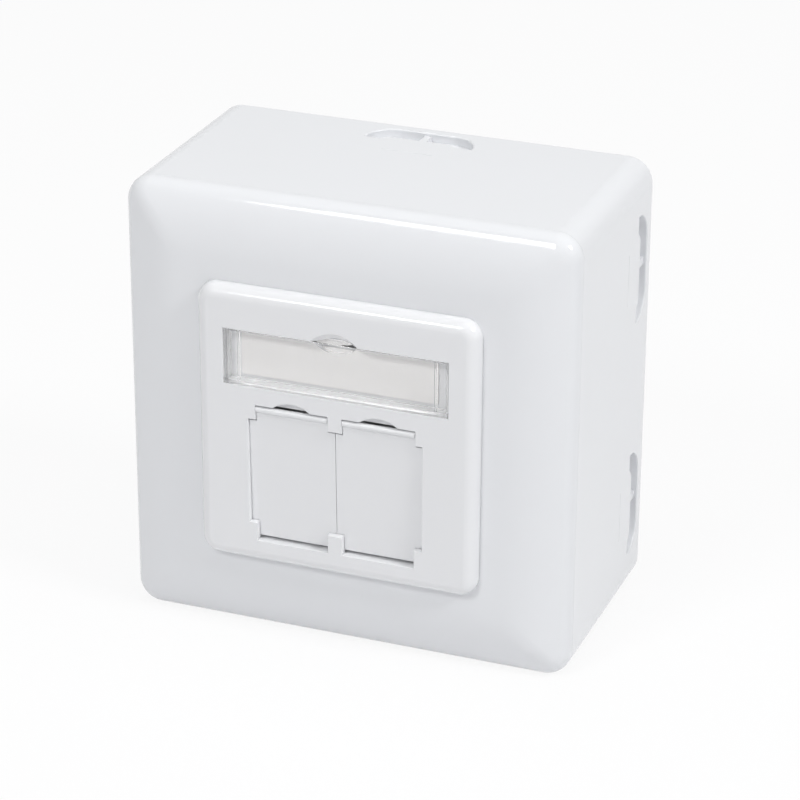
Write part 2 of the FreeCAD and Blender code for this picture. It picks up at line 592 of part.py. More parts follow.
# Jacks, drawn in their own frame round X = 0
def jack_body():
    half_x = JACK_WIDTH / 2.0 - SHIELD
    half_y = JACK_HEIGHT / 2.0 - SHIELD
    body = block(-half_x, half_x, -half_y, half_y, -JACK_LENGTH + SHIELD, 0)
    mouth_low = MOUTH_UP - MOUTH_HEIGHT / 2.0
    mouth = block(-MOUTH_WIDTH / 2.0, MOUTH_WIDTH / 2.0, mouth_low, mouth_low + MOUTH_HEIGHT,
                  -MOUTH_DEPTH, PAST)
    latch = block(-LATCH_WIDTH / 2.0, LATCH_WIDTH / 2.0, mouth_low - LATCH_DROP, mouth_low,
                  -MOUTH_DEPTH, PAST)
    slot_low = mouth_low - LATCH_DROP - LATCH_SLOT_DROP
    slot = block(-LATCH_SLOT_WIDTH / 2.0, LATCH_SLOT_WIDTH / 2.0, slot_low, mouth_low - LATCH_DROP,
                 -MOUTH_DEPTH / 2.0, PAST)
    return body.cut([mouth, latch, slot])


def jack_shield():
    half_x = JACK_WIDTH / 2.0
    half_y = JACK_HEIGHT / 2.0
    can = block(-half_x, half_x, -half_y, half_y, -JACK_LENGTH, -SHIELD_SETBACK)
    return can.cut(block(-half_x + SHIELD, half_x - SHIELD, -half_y + SHIELD, half_y - SHIELD,
                         -JACK_LENGTH + SHIELD, PAST))


def jack_contacts():
    """Eight sprung wires that slope from the roof of the opening down to its back wall."""
    roof = MOUTH_UP + MOUTH_HEIGHT / 2.0
    run = MOUTH_DEPTH - CONTACT_ENTRY
    profile = [(roof, -CONTACT_ENTRY), (roof, -CONTACT_ENTRY - CONTACT_WIRE * run / CONTACT_DROP),
               (roof - CONTACT_DROP + CONTACT_WIRE, -MOUTH_DEPTH), (roof - CONTACT_DROP, -MOUTH_DEPTH)]
    wires = []
    for index in range(CONTACT_COUNT):
        x = (index - (CONTACT_COUNT - 1) / 2.0) * CONTACT_PITCH
        wires.append(across(profile, x - CONTACT_WIRE / 2.0, x + CONTACT_WIRE / 2.0))
    return Part.makeCompound(wires)


# Module housing and bracket
def housing_outline(lap, z0, z1):
    width = 2.0 * (WINDOW_HALF_X + lap)
    height = WINDOW_HIGH - WINDOW_LOW + 2.0 * lap
    middle = (WINDOW_HIGH + WINDOW_LOW) / 2.0
    return block(-width / 2.0, width / 2.0, middle - height / 2.0, middle + height / 2.0, z0, z1)


def stakes(gap, z0, z1):
    """Four flat lugs that pass through the bracket, with the given gap round each."""
    half_x = STAKE_LENGTH / 2.0 + gap
    half_y = STAKE_THICKNESS / 2.0 + gap
    lugs = []
    for y in (WINDOW_LOW - FLANGE_LAP / 2.0, WINDOW_HIGH + FLANGE_LAP / 2.0):
        for side in (-1, 1):
            x = side * (WINDOW_HALF_X - STAKE_LENGTH)
            lugs.append(block(x - half_x, x + half_x, y - half_y, y + half_y, z0, z1))
    return lugs


def module_housing():
    """Die-cast carrier: a slanted sleeve round both jacks, a flange behind the bracket and two legs."""
    flange = housing_outline(FLANGE_LAP, FLANGE_BACK, BRACKET_BACK)
    terminal_window = block(-WINDOW_HALF_X, WINDOW_HALF_X, TERMINAL_LOW, WINDOW_HIGH, 0, FACE)
    mouth_line = MOUTH_Y + (BRACKET_BACK - MOUTH_Z) * SLANT_COS / SLANT_SIN
    chute_window = block(-CHUTE_HALF, CHUTE_HALF, WINDOW_LOW, mouth_line, 0, FACE)
    flange = flange.cut([terminal_window, chute_window])
    sleeve = slanted(block(-SLEEVE_HALF_X, SLEEVE_HALF_X, -SLEEVE_HALF_Y, SLEEVE_HALF_Y,
                           -JACK_LENGTH, -SLEEVE_SETBACK))
    sleeve = sleeve.common(block(-FACE, FACE, -FACE, FACE, BOARD_FRONT, FACE))
    boss_top = POCKET_FLOOR - POCKET_BASE
    boss = rod(CENTRE_BOSS_R, boss_top - FLANGE_BACK, 0, WINDOW_Y, FLANGE_BACK)
    pieces = [flange, sleeve, boss] + stakes(0.0, BRACKET_BACK, BRACKET_FRONT)
    for side in (-1, 1):
        pieces.append(block(side * LEG_X - LEG_HALF, side * LEG_X + LEG_HALF, LEG_Y - LEG_HALF,
                            LEG_Y + LEG_HALF, BOARD_FRONT, BRACKET_BACK))
    housing = fused(pieces)
    cavity = slanted(block(-CAVITY_HALF_X, CAVITY_HALF_X, -CAVITY_HALF_Y, CAVITY_HALF_Y,
                           -FACE / 2.0, FACE / 2.0))
    tip = POCKET_FLOOR - CENTRE_SCREW_LENGTH - BORE_FLOOR
    cutters = [cavity, rod(CENTRE_SCREW_R + SCREW_CLEARANCE, FACE, 0, WINDOW_Y, tip)]
    for side in (-1, 1):
        cutters.append(rod(BOARD_SCREW_R + SCREW_CLEARANCE, LEG_BORE_DEPTH + PAST, side * LEG_X, LEG_Y,
                           BOARD_FRONT - PAST))
    return housing.cut(cutters)


def mounting_bracket():
    """Pressed steel ring that carries the module and is screwed to the box's two posts."""
    corner = (BRACKET - BRACKET_CORNER) / math.sqrt(2.0)
    plate = square(BRACKET, BRACKET_BACK, BRACKET_FRONT)
    plate = plate.common(turned(square(2.0 * corner, 0, FACE), 45.0))
    cutters = [housing_outline(0.0, 0, FACE)] + stakes(STAKE_GAP, 0, FACE)
    half = BRACKET_SCREW_SPACING / 2.0
    for quarter in (0, 2):
        ends = [rod(SLOT_HALF, FACE, half, end * (SLOT_LENGTH / 2.0 - SLOT_HALF), 0) for end in (-1, 1)]
        middle = block(half - SLOT_HALF, half + SLOT_HALF, SLOT_HALF - SLOT_LENGTH / 2.0,
                       SLOT_LENGTH / 2.0 - SLOT_HALF, 0, FACE)
        cutters.append(turned(fused(ends + [middle]), 90.0 * quarter))
    return plate.cut(cutters)


def bracket_screws():
    screw = slotted_screw(HEAD_R, HEAD_H, SCREW_R, SCREW_LENGTH)
    return Part.makeCompound([moved(screw, side * BRACKET_SCREW_SPACING / 2.0, 0, BRACKET_FRONT)
                              for side in (-1, 1)])


def centre_screw():
    """Countersunk screw behind the label, from the plate into the housing's boss."""
    head = Part.makeCone(CENTRE_SCREW_R, CENTRE_HEAD_R, CENTRE_HEAD_H,
                         Vec(0, WINDOW_Y, POCKET_FLOOR - CENTRE_HEAD_H))
    shank = rod(CENTRE_SCREW_R, CENTRE_SCREW_LENGTH - CENTRE_HEAD_H, 0, WINDOW_Y,
                POCKET_FLOOR - CENTRE_SCREW_LENGTH)
    slot_low = WINDOW_Y - CENTRE_SLOT / 2.0
    slot = block(-CENTRE_HEAD_R, CENTRE_HEAD_R, slot_low, slot_low + CENTRE_SLOT,
                 POCKET_FLOOR - CENTRE_SLOT, POCKET_FLOOR + PAST)
    return fused([head, shank]).cut(slot)


# Circuit board and what it carries
def board_screw_places():
    return [(side * LEG_X, LEG_Y) for side in (-1, 1)]


def clamp_screw_places():
    foot_x = CLAMP_ARCH_R + CLAMP_SHEET + CLAMP_FOOT / 2.0
    return [(side * foot_x, CLAMP_Y) for side in (-1, 1)]


def circuit_board():
    board = block(-BOARD_HALF_X, BOARD_HALF_X, BOARD_LOW, BOARD_HIGH, BOARD_BACK, BOARD_FRONT)
    cutters = [rod(BOARD_SCREW_R + SCREW_CLEARANCE, FACE, x, y, 0) for x, y in board_screw_places()]
    cutters += [rod(CLAMP_SCREW_R + SCREW_CLEARANCE, FACE, x, y, 0) for x, y in clamp_screw_places()]
    return board.cut(cutters)


def board_screws():
    screw = slotted_screw(BOARD_HEAD_R, BOARD_HEAD_H, BOARD_SCREW_R, BOARD_SCREW_LENGTH)
    screw = turned(screw, 180.0, X_AXIS)
    return Part.makeCompound([moved(screw, x, y, BOARD_BACK) for x, y in board_screw_places()])


def terminal_slots():
    return [(index - (CONTACT_COUNT - 1) / 2.0) * TERMINAL_PITCH for index in range(CONTACT_COUNT)]


def terminal_block():
    """Eight-way punch-down block, its wire slots open to the front."""
    half = TERMINAL_WIDTH / 2.0
    top = BOARD_FRONT + TERMINAL_HEIGHT
    body = block(-half, half, TERMINAL_LOW, TERMINAL_LOW + TERMINAL_DEPTH, BOARD_FRONT, top)
    slots = [block(x - TERMINAL_SLOT / 2.0, x + TERMINAL_SLOT / 2.0, TERMINAL_LOW - PAST,
                   TERMINAL_LOW + TERMINAL_DEPTH + PAST, top - TERMINAL_SLOT_DEPTH, top + PAST)
             for x in terminal_slots()]
    return body.cut(slots)


def terminal_contacts():
    """Silvered blades standing on the floor of the wire slots, split to grip a wire."""
    floor = BOARD_FRONT + TERMINAL_HEIGHT - TERMINAL_SLOT_DEPTH
    middle = TERMINAL_LOW + TERMINAL_DEPTH / 2.0
    blades = []
    for x in terminal_slots():
        blade = block(x - BLADE_T / 2.0, x + BLADE_T / 2.0, middle - BLADE_LENGTH / 2.0,
                      middle + BLADE_LENGTH / 2.0, floor, floor + BLADE_HEIGHT)
        split = block(x - BLADE_T, x + BLADE_T, middle - BLADE_T / 2.0, middle + BLADE_T / 2.0,
                      floor + BLADE_ROOT, floor + BLADE_HEIGHT + PAST)
        blades.append(blade.cut(split))
    return Part.makeCompound(blades)


def cable_clamp():
    """Bent steel saddle over the incoming cables at the top of the board."""
    low = CLAMP_Y - CLAMP_WIDTH / 2.0
    outer_r = CLAMP_ARCH_R + CLAMP_SHEET
    arch = rod(outer_r, CLAMP_WIDTH, 0, low, BOARD_FRONT, Y_AXIS)
    feet = block(-outer_r - CLAMP_FOOT, outer_r + CLAMP_FOOT, low, low + CLAMP_WIDTH,
                 BOARD_FRONT, BOARD_FRONT + CLAMP_SHEET)
    strap = fused([arch, feet]).common(block(-FACE, FACE, -FACE, FACE, BOARD_FRONT, FACE))
    cutters = [rod(CLAMP_ARCH_R, FACE, 0, 0, BOARD_FRONT, Y_AXIS)]
    cutters += [rod(CLAMP_SCREW_R + SCREW_CLEARANCE, FACE, x, y, 0) for x, y in clamp_screw_places()]
    return strap.cut(cutters)


def clamp_screws():
    screw = slotted_screw(BOARD_HEAD_R, BOARD_HEAD_H, CLAMP_SCREW_R, CLAMP_SCREW_LENGTH)
    return Part.makeCompound([moved(screw, x, y, BOARD_FRONT + CLAMP_SHEET)
                              for x, y in clamp_screw_places()])


# Save every piece upright
def save(name, shape):
    turned(shape, 90.0, X_AXIS).exportStep("parts/" + name + ".step")


os.makedirs("parts", exist_ok=True)

single_pieces = {
    "back_box": back_box(),
    "cover_frame": cover_frame(),
    "centre_plate": ear_rounding(centre_plate()),
    "label_window": label_window(),
    "label_card": label_card(),
    "mounting_bracket": mounting_bracket(),
    "bracket_screws": bracket_screws(),
    "module_housing": module_housing(),
    "centre_screw": centre_screw(),
    "circuit_board": circuit_board(),
    "board_screws": board_screws(),
    "cable_clamp": cable_clamp(),
    "clamp_screws": clamp_screws(),
}
for name, shape in single_pieces.items():
    save(name, shape)

right_flap = dust_flap()
save("dust_flap_right", right_flap)
save("dust_flap_left", mirrored(right_flap))

terminal_x = TERMINAL_WIDTH / 2.0 + TERMINAL_SLOT
for side, side_name in ((-1, "left"), (1, "right")):
    save("jack_body_" + side_name, slanted(jack_body(), side * PORT_X))
    save("jack_shield_" + side_name, slanted(jack_shield(), side * PORT_X))
    save("jack_contacts_" + side_name, slanted(jack_contacts(), side * PORT_X))
    save("terminal_block_" + side_name, moved(terminal_block(), side * terminal_x, 0, 0))
    save("terminal_contacts_" + side_name, moved(terminal_contacts(), side * terminal_x, 0, 0))
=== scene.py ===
# Surface mount jack box: the looks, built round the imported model.
import json
import math

import bmesh
import bpy
from mathutils import Matrix, Vector


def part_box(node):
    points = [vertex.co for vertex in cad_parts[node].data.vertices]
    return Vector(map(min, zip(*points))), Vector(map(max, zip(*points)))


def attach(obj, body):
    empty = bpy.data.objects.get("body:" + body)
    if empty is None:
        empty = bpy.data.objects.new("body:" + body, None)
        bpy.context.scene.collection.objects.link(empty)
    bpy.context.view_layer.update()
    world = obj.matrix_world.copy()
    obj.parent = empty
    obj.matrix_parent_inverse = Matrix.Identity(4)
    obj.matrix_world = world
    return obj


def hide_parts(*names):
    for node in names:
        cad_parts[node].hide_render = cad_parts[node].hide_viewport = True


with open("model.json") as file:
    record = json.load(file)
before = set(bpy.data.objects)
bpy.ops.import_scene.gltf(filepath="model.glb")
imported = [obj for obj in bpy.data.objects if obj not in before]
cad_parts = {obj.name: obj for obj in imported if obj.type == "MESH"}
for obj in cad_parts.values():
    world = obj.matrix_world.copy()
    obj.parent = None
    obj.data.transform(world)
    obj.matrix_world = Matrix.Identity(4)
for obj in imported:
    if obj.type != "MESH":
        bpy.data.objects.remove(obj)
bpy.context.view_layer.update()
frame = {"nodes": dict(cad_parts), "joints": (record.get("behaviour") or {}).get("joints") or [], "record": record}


# Wall box
# The white moulded tray that is screwed to the wall. Its corners are rounded, its four sides have
# C-shaped grooves round the tongues that break out for cables, and two posts take the bracket's screws.
# Lengths are in mm, which MM turns into metres, apart from the heights of a grain, which are in metres.
MM = 0.001
NEAR = 0.02
PAST = 1.0
MERGE_BELOW = 0.002
SMOOTH_BELOW = math.radians(35.0)
FACE_AREA_WEIGHT = 100
EDGE_SEGMENTS = 2
ROD_SIDES = 48
OUTWARDS = (90.0, 0.0, 0.0)
ALONG_X = (0.0, 90.0, 0.0)

BOX_CORNER_R = 4.5
BOX_WALL = 2.2
CORNER_SEGMENTS = 14
KNOCKOUT_LENGTH = 19.2
KNOCKOUT_WIDTH = 10.4
KNOCKOUT_R = 4.9
KNOCKOUT_BACK = 2.2
KNOCKOUT_SPACING = 44.4
TONGUE_R = 2.0
GROOVE_WIDTH = 4.2
GROOVE_END = 2.7
GROOVE_DEPTH = 1.6
GROOVE_STOP = 5.0
GROOVE_LIP_R = 0.3
LIP_STEPS = 5
BRIDGE = 1.3
BRIDGE_DROP = 0.6
SCORE_WIDTH = 0.15
SCORE_DEPTH = 0.025
SEAM_EDGE = 0.08
SEAM_GAP = 0.05
BACK_EDGE = 0.35
BACK_EDGE_SEGMENTS = 3
POST_HALF = 3.4
POST_RIB = 1.6
POST_BORE_R = 1.4
POST_BORE_DEPTH = 14.0
POST_X = 30.0
LIP_ROOM = 4.0
WALL_SCREW_R = 2.1
WALL_SCREW_UP = 30.0
REAR_ENTRY = 20.0
REAR_GROOVE = 0.8

BOX_WHITE = (0.79, 0.80, 0.82)
BOX_ROUGHNESS = 0.2
PATTERN_LOW = 0.3
PATTERN_HIGH = 0.7
TONE_SCALE = 60.0
TONE_SHIFT = 0.985
GLOSS_SCALE = 1500.0
GLOSS_SHIFT = 1.1
SKIN_SCALE = 700.0
SKIN_HEIGHT = 0.0000002
PLASTIC_IOR = 1.5


def span(node):
    """Reach of a CAD node in mm: its two X, its two heights and its two distances out from the wall."""
    low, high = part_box(node)
    return (low.x / MM, high.x / MM), (low.z / MM, high.z / MM), (-high.y / MM, -low.y / MM)


def place(point):
    """A mesh point as X, height and distance out from the wall, in mm."""
    return Vector((point.x, point.z, -point.y)) / MM


def both_ways(half):
    """Reach that lies evenly on both sides of the middle."""
    return (-half, half)


def on_side(side, near, far):
    """Reach between two distances from the middle, on the left (-1) or the right (1)."""
    return sorted((side * near, side * far))


def only(piece):
    """Make one piece the selected and active object."""
    bpy.ops.object.select_all(action="DESELECT")
    piece.select_set(True)
    bpy.context.view_layer.objects.active = piece


def settle(piece):
    """Put the object's place, turn and scale into its mesh."""
    only(piece)
    bpy.ops.object.transform_apply(location=True, rotation=True, scale=True)
    return piece


def block(name, x, up, out):
    """A box that spans the given reaches in X, height and distance out from the wall."""
    bpy.ops.object.select_all(action="DESELECT")
    bpy.ops.mesh.primitive_cube_add(size=1.0)
    piece = bpy.context.object
    piece.name = name
    piece.location = Vector((sum(x), -sum(out), sum(up))) * MM / 2.0
    piece.scale = Vector((x[1] - x[0], out[1] - out[0], up[1] - up[0])) * MM
    return settle(piece)


def rod(name, radius, length, x, up, out, turn=OUTWARDS, sides=ROD_SIDES, tip=None):
    """A round bar that starts at x, up, out and runs away from the wall, or as it is turned."""
    bpy.ops.object.select_all(action="DESELECT")
    bpy.ops.mesh.primitive_cone_add(vertices=sides, radius1=radius * MM, depth=length * MM,
                                    radius2=(radius if tip is None else tip) * MM)
    piece = bpy.context.object
    piece.name = name
    spin = Matrix.Identity(4)
    for axis, angle in zip("XYZ", turn):
        spin = Matrix.Rotation(math.radians(angle), 4, axis) @ spin
    centre = spin @ Vector((0, 0, length * MM / 2.0))
    piece.matrix_world = Matrix.Translation(Vector((x, -out, up)) * MM + centre) @ spin
    return settle(piece)


def pick(piece, kind, wanted):
    """Open the piece in edit mode with only the wanted edges or faces selected."""
    only(piece)
    bpy.ops.object.mode_set(mode="EDIT")
    bpy.ops.mesh.select_mode(type=kind)
    bpy.ops.mesh.select_all(action="DESELECT")
    mesh = bmesh.from_edit_mesh(piece.data)
    for part in (mesh.edges if kind == "EDGE" else mesh.faces):
        if wanted(part):
            part.select_set(True)
    mesh.select_flush_mode()
    bmesh.update_edit_mesh(piece.data)


def round_edges(piece, radius, segments, wanted):
    """Round the edges whose two ends, as X, height and distance out, pass the test."""
    pick(piece, "EDGE", lambda edge: wanted(*[place(corner.co) for corner in edge.verts]))
    bpy.ops.mesh.bevel(offset=radius * MM, segments=segments, affect="EDGES", clamp_overlap=False)
    bpy.ops.object.mode_set(mode="OBJECT")
    return piece


def runs_out(a, b):
    """True for an edge that runs straight out from the wall."""
    return abs(a.x - b.x) < NEAR and abs(a.y - b.y) < NEAR


def level_with(height):
    """A test for edges that lie at one distance out from the wall."""
    return lambda a, b: abs(a.z - height) < NEAR and abs(b.z - height) < NEAR


def combine(piece, others, operation):
    """Join, cut or intersect a piece with others, which are used up."""
    for other in others:
        modifier = piece.modifiers.new("combine", "BOOLEAN")
        modifier.operation = operation
        modifier.solver = "EXACT"
        modifier.object = other
        only(piece)
        bpy.ops.object.modifier_apply(modifier=modifier.name)
        bpy.data.objects.remove(other, do_unlink=True)
    return piece


def cut(piece, *cutters):
    return combine(piece, cutters, "DIFFERENCE")


def weld(piece, *others):
    return combine(piece, others, "UNION")


def swing(piece, angle):
    """Turn a piece about the line that runs straight out from the middle of the wall box."""
    piece.rotation_euler.y = math.radians(angle)
    return settle(piece)


def finish_piece(piece, body, material, slot, *nodes):
    """Clean the mesh, smooth its rounded parts, give it its finish and hang it on its body."""
    only(piece)
    bpy.ops.object.mode_set(mode="EDIT")
    bpy.ops.mesh.select_all(action="SELECT")
    bpy.ops.mesh.remove_doubles(threshold=MERGE_BELOW * MM)
    bpy.ops.mesh.normals_make_consistent(inside=False)
    bpy.ops.object.mode_set(mode="OBJECT")
    bpy.ops.object.shade_smooth_by_angle(angle=SMOOTH_BELOW)
    modifier = piece.modifiers.new("even shading", "WEIGHTED_NORMAL")
    modifier.keep_sharp = True
    modifier.weight = FACE_AREA_WEIGHT
    bpy.ops.object.modifier_apply(modifier=modifier.name)
    piece.data.materials.clear()
    piece.data.materials.append(material)
    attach(piece, body)
    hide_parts(*nodes)
    return piece


def node_material(name, color, roughness, metallic=0.0):
    """A new material with its shader, and the piece's own coordinates to pattern it by."""
    material = bpy.data.materials.new(name)
    material.use_nodes = True
    shader = material.node_tree.nodes["Principled BSDF"]
    shader.inputs["Base Color"].default_value = (*color, 1.0)
    shader.inputs["Roughness"].default_value = roughness
    shader.inputs["Metallic"].default_value = metallic
    where = material.node_tree.nodes.new("ShaderNodeTexCoord")
    return material, shader, where


def noise(material, where, scale, detail=2.0):
    """A soft random pattern on the piece's own coordinates."""
    texture = material.node_tree.nodes.new("ShaderNodeTexNoise")
    texture.inputs["Scale"].default_value = scale
    texture.inputs["Detail"].default_value = detail
    material.node_tree.links.new(where.outputs["Object"], texture.inputs["Vector"])
    return texture.outputs["Fac"]


def spread(material, source, socket, low, high):
    """Drive a socket between two values by a pattern."""
    scaled = material.node_tree.nodes.new("ShaderNodeMapRange")
    scaled.inputs["From Min"].default_value = PATTERN_LOW
    scaled.inputs["From Max"].default_value = PATTERN_HIGH
    scaled.inputs["To Min"].default_value = low
    scaled.inputs["To Max"].default_value = high
    material.node_tree.links.new(source, scaled.inputs["Value"])
    material.node_tree.links.new(scaled.outputs["Result"], socket)


def tint(material, shader, source, first, second):
    """Let the base colour wander between two shades by a pattern."""
    mix = material.node_tree.nodes.new("ShaderNodeMix")
    mix.data_type = "RGBA"
    mix.inputs["A"].default_value = (*first, 1.0)
    mix.inputs["B"].default_value = (*second, 1.0)
    material.node_tree.links.new(source, mix.inputs["Factor"])
    material.node_tree.links.new(mix.outputs["Result"], shader.inputs["Base Color"])


def grain(material, shader, source, height):
    """Raise the surface by a pattern, with the height in metres."""
    bump = material.node_tree.nodes.new("ShaderNodeBump")
    bump.inputs["Distance"].default_value = height
    material.node_tree.links.new(source, bump.inputs["Height"])
    material.node_tree.links.new(bump.outputs["Normal"], shader.inputs["Normal"])


def white_plastic(name, shade, roughness):
    """Glossy white moulding: a trace of unevenness in its gloss, its tone and its skin."""
    material, shader, where = node_material(name, shade, roughness)
    tint(material, shader, noise(material, where, TONE_SCALE), shade, [tone * TONE_SHIFT for tone in shade])
    spread(material, noise(material, where, GLOSS_SCALE), shader.inputs["Roughness"], roughness,
           roughness * GLOSS_SHIFT)
    grain(material, shader, noise(material, where, SKIN_SCALE), SKIN_HEIGHT)
    shader.inputs["IOR"].default_value = PLASTIC_IOR
    return material


box_x, box_up, box_out = span("back_box")
HALF = box_x[1]
SEAM = box_out[1]
ACROSS = both_ways(HALF)
THROUGH = (0.0, 2.0 * SEAM)
BRACKET_BACK = span("mounting_bracket")[2][0]


def square(name, half, out, radius=None):
    """A square block about the middle, with rounded corners where a radius is given."""
    piece = block(name, both_ways(half), both_ways(half), out)
    if radius:
        round_edges(piece, radius, CORNER_SEGMENTS, runs_out)
    return piece


box = block("wall_box", box_x, box_up, (box_out[0], SEAM - SEAM_GAP))
round_edges(box, BOX_CORNER_R, CORNER_SEGMENTS, runs_out)
round_edges(box, BACK_EDGE, BACK_EDGE_SEGMENTS, level_with(0.0))
round_edges(box, SEAM_EDGE, EDGE_SEGMENTS, level_with(SEAM - SEAM_GAP))
cut(box, square("hollow", HALF - BOX_WALL, (BOX_WALL, SEAM + PAST), BOX_CORNER_R - BOX_WALL))


def runs_up(a, b):
    """True for an edge that runs straight up."""
    return abs(a.x - b.x) < NEAR and abs(a.z - b.z) < NEAR


def knockout(offset, angle):
    """Cutter for one knockout in the top side, moved along it and swung round to its own side."""
    half = KNOCKOUT_LENGTH / 2.0
    half_width = KNOCKOUT_WIDTH / 2.0
    far = KNOCKOUT_BACK + KNOCKOUT_WIDTH
    middle = KNOCKOUT_BACK + half_width
    lip_foot = HALF - GROOVE_LIP_R
    through = (HALF - BOX_WALL, HALF + 2.0 * PAST)
    groove = block("groove", both_ways(half), (HALF - GROOVE_DEPTH, lip_foot), (KNOCKOUT_BACK, far))
    round_edges(groove, KNOCKOUT_R, CORNER_SEGMENTS, runs_up)
    pick(groove, "FACE", lambda part: abs(place(part.calc_center_median()).y - lip_foot) < NEAR)
    was_wide, was_up = 0.0, 0.0
    for step in range(1, LIP_STEPS + 1):
        bend = math.pi / 2.0 * step / LIP_STEPS
        wide = GROOVE_LIP_R * (1.0 - math.cos(bend))
        up = GROOVE_LIP_R * math.sin(bend)
        bpy.ops.mesh.extrude_region_move(TRANSFORM_OT_translate={"value": (0.0, 0.0, (up - was_up) * MM)})
        longer = (half + wide) / (half + was_wide)
        wider = (half_width + wide) / (half_width + was_wide)
        bpy.ops.transform.resize(value=(longer, wider, 1.0), center_override=(0.0, -middle * MM, 0.0))
        was_wide, was_up = wide, up
    bpy.ops.mesh.extrude_region_move(TRANSFORM_OT_translate={"value": (0.0, 0.0, PAST * MM)})
    bpy.ops.object.mode_set(mode="OBJECT")
    tongue = block("tongue", both_ways(half - GROOVE_END), through, (KNOCKOUT_BACK + GROOVE_WIDTH, far))
    round_edges(tongue, TONGUE_R, CORNER_SEGMENTS, runs_up)
    bridge = block("bridge", both_ways(BRIDGE / 2.0), (through[0], HALF - BRIDGE_DROP), (0.0, far))
    cut(groove, tongue, bridge, block("front", ACROSS, through, (far - GROOVE_STOP, SEAM)))
    weld(groove, block("score", both_ways(half - KNOCKOUT_R), (HALF - SCORE_DEPTH, HALF + PAST),
                       (far - SCORE_WIDTH / 2.0, far + SCORE_WIDTH / 2.0)))
    groove.location.x = offset * MM
    return swing(settle(groove), angle)


for quarter in range(4):
    one_in_the_middle = quarter % 2 == 0
    for offset in ((0.0,) if one_in_the_middle else both_ways(KNOCKOUT_SPACING / 2.0)):
        cut(box, knockout(offset, 90.0 * quarter))

for side in (-1, 1):
    post_x = side * POST_X
    weld(box, block("post", (post_x - POST_HALF, post_x + POST_HALF), both_ways(POST_HALF),
                    (BOX_WALL - PAST, BRACKET_BACK)))
    weld(box, block("rib", on_side(side, POST_X, HALF - BOX_WALL / 2.0), both_ways(POST_RIB / 2.0),
                    (BOX_WALL - PAST, SEAM - LIP_ROOM)))
    cut(box, rod("bore", POST_BORE_R, POST_BORE_DEPTH + PAST, post_x, 0.0, BRACKET_BACK - POST_BORE_DEPTH),
        rod("wall screw hole", WALL_SCREW_R, BOX_WALL + 2.0 * PAST, 0.0, side * WALL_SCREW_UP, -PAST))
entry = REAR_ENTRY / 2.0
ring = square("rear groove", entry, (-PAST, BOX_WALL / 2.0))
cut(ring, square("plug", entry - REAR_GROOVE, (-2.0 * PAST, BOX_WALL)),
    block("bridge", both_ways(BRIDGE / 2.0), ACROSS, (-2.0 * PAST, BOX_WALL)))
cut(box, ring)

box_plastic = white_plastic("box_white", BOX_WHITE, BOX_ROUGHNESS)
finish_piece(box, "outlet", box_plastic, "white_plastic", "back_box")


# Cover frame
# The white frame that closes the box: a rim rounded to 3 mm at the seam and a crowned face that runs
# up to a flat, with a shallow seat for the centre plate. A lip drops inside the box.
FRAME_WALL = 1.8
RIM_UPRIGHT = 0.1
RIM_R = 3.0
RIM_INNER_R = 1.2
CROWN_SLOPE = math.radians(30.0)
RIM_STEPS = 8
CROWN_STEPS = 12
SOFT_MITRE = 1.6
LIP_GAP = 0.1
LIP_WALL = 1.2
LIP_DEPTH = 2.0
LIP_ROOT = 2.0
COLLAR_WALL = 1.4
SEAT_EDGE = 0.04
PLATE_R = 3.2
PLATE_GAP = 0.2
PLATE_SEAT = 0.6
SEAT_GAP = 0.01
SKIRT_INSET = 2.0
FRAME_WHITE = (0.79, 0.80, 0.82)
FRAME_ROUGHNESS = 0.09


def crowned_block(name, half, corner_r, soft_r, base, rim_top, rim_r, face):
    """A square block with a rounded rim and a crowned face, its mitres softened by a small radius."""
    body = square(name, half, (base, rim_top), corner_r)
    crown_r = (face - rim_top - rim_r * math.cos(CROWN_SLOPE)) / (1.0 - math.cos(CROWN_SLOPE))
    crest = rim_r * (1.0 - math.sin(CROWN_SLOPE)) + crown_r * math.sin(CROWN_SLOPE)
    rings = []
    for step in range(1, RIM_STEPS + 1):
        angle = (math.pi / 2.0 - CROWN_SLOPE) * step / RIM_STEPS
        rings.append((rim_r * (1.0 - math.cos(angle)), rim_top + rim_r * math.sin(angle)))
    for step in range(1, CROWN_STEPS + 1):
        angle = CROWN_SLOPE * (1.0 - step / CROWN_STEPS)
        rings.append((crest - crown_r * math.sin(angle), face - crown_r * (1.0 - math.cos(angle))))
    pick(body, "FACE", lambda part: abs(place(part.calc_center_median()).z - rim_top) < NEAR)
    was_in, was_out = 0.0, rim_top
    for inset, out in rings:
        if corner_r - inset > soft_r:
            bpy.ops.mesh.inset(thickness=(inset - was_in) * MM, depth=(out - was_out) * MM)
        else:
            bpy.ops.mesh.extrude_region_move(
                TRANSFORM_OT_translate={"value": (0.0, -(out - was_out) * MM, 0.0)})
            shrink = (half - inset) / (half - was_in)
            bpy.ops.transform.resize(value=(shrink, 1.0, shrink), center_override=(0.0, 0.0, 0.0))
        was_in, was_out = inset, out
    bpy.ops.object.mode_set(mode="OBJECT")
    return body


plate_x, _, plate_out = span("centre_plate")
FRAME_FACE = span("cover_frame")[2][1]
PLATE_FACE = plate_out[1]
PLATE_HALF = plate_x[1]
PLATE_FOOT = FRAME_FACE - PLATE_SEAT
SKIRT_HALF = PLATE_HALF - SKIRT_INSET
OPENING_HALF = SKIRT_HALF + PLATE_GAP
BRACKET_FRONT = span("mounting_bracket")[2][1]

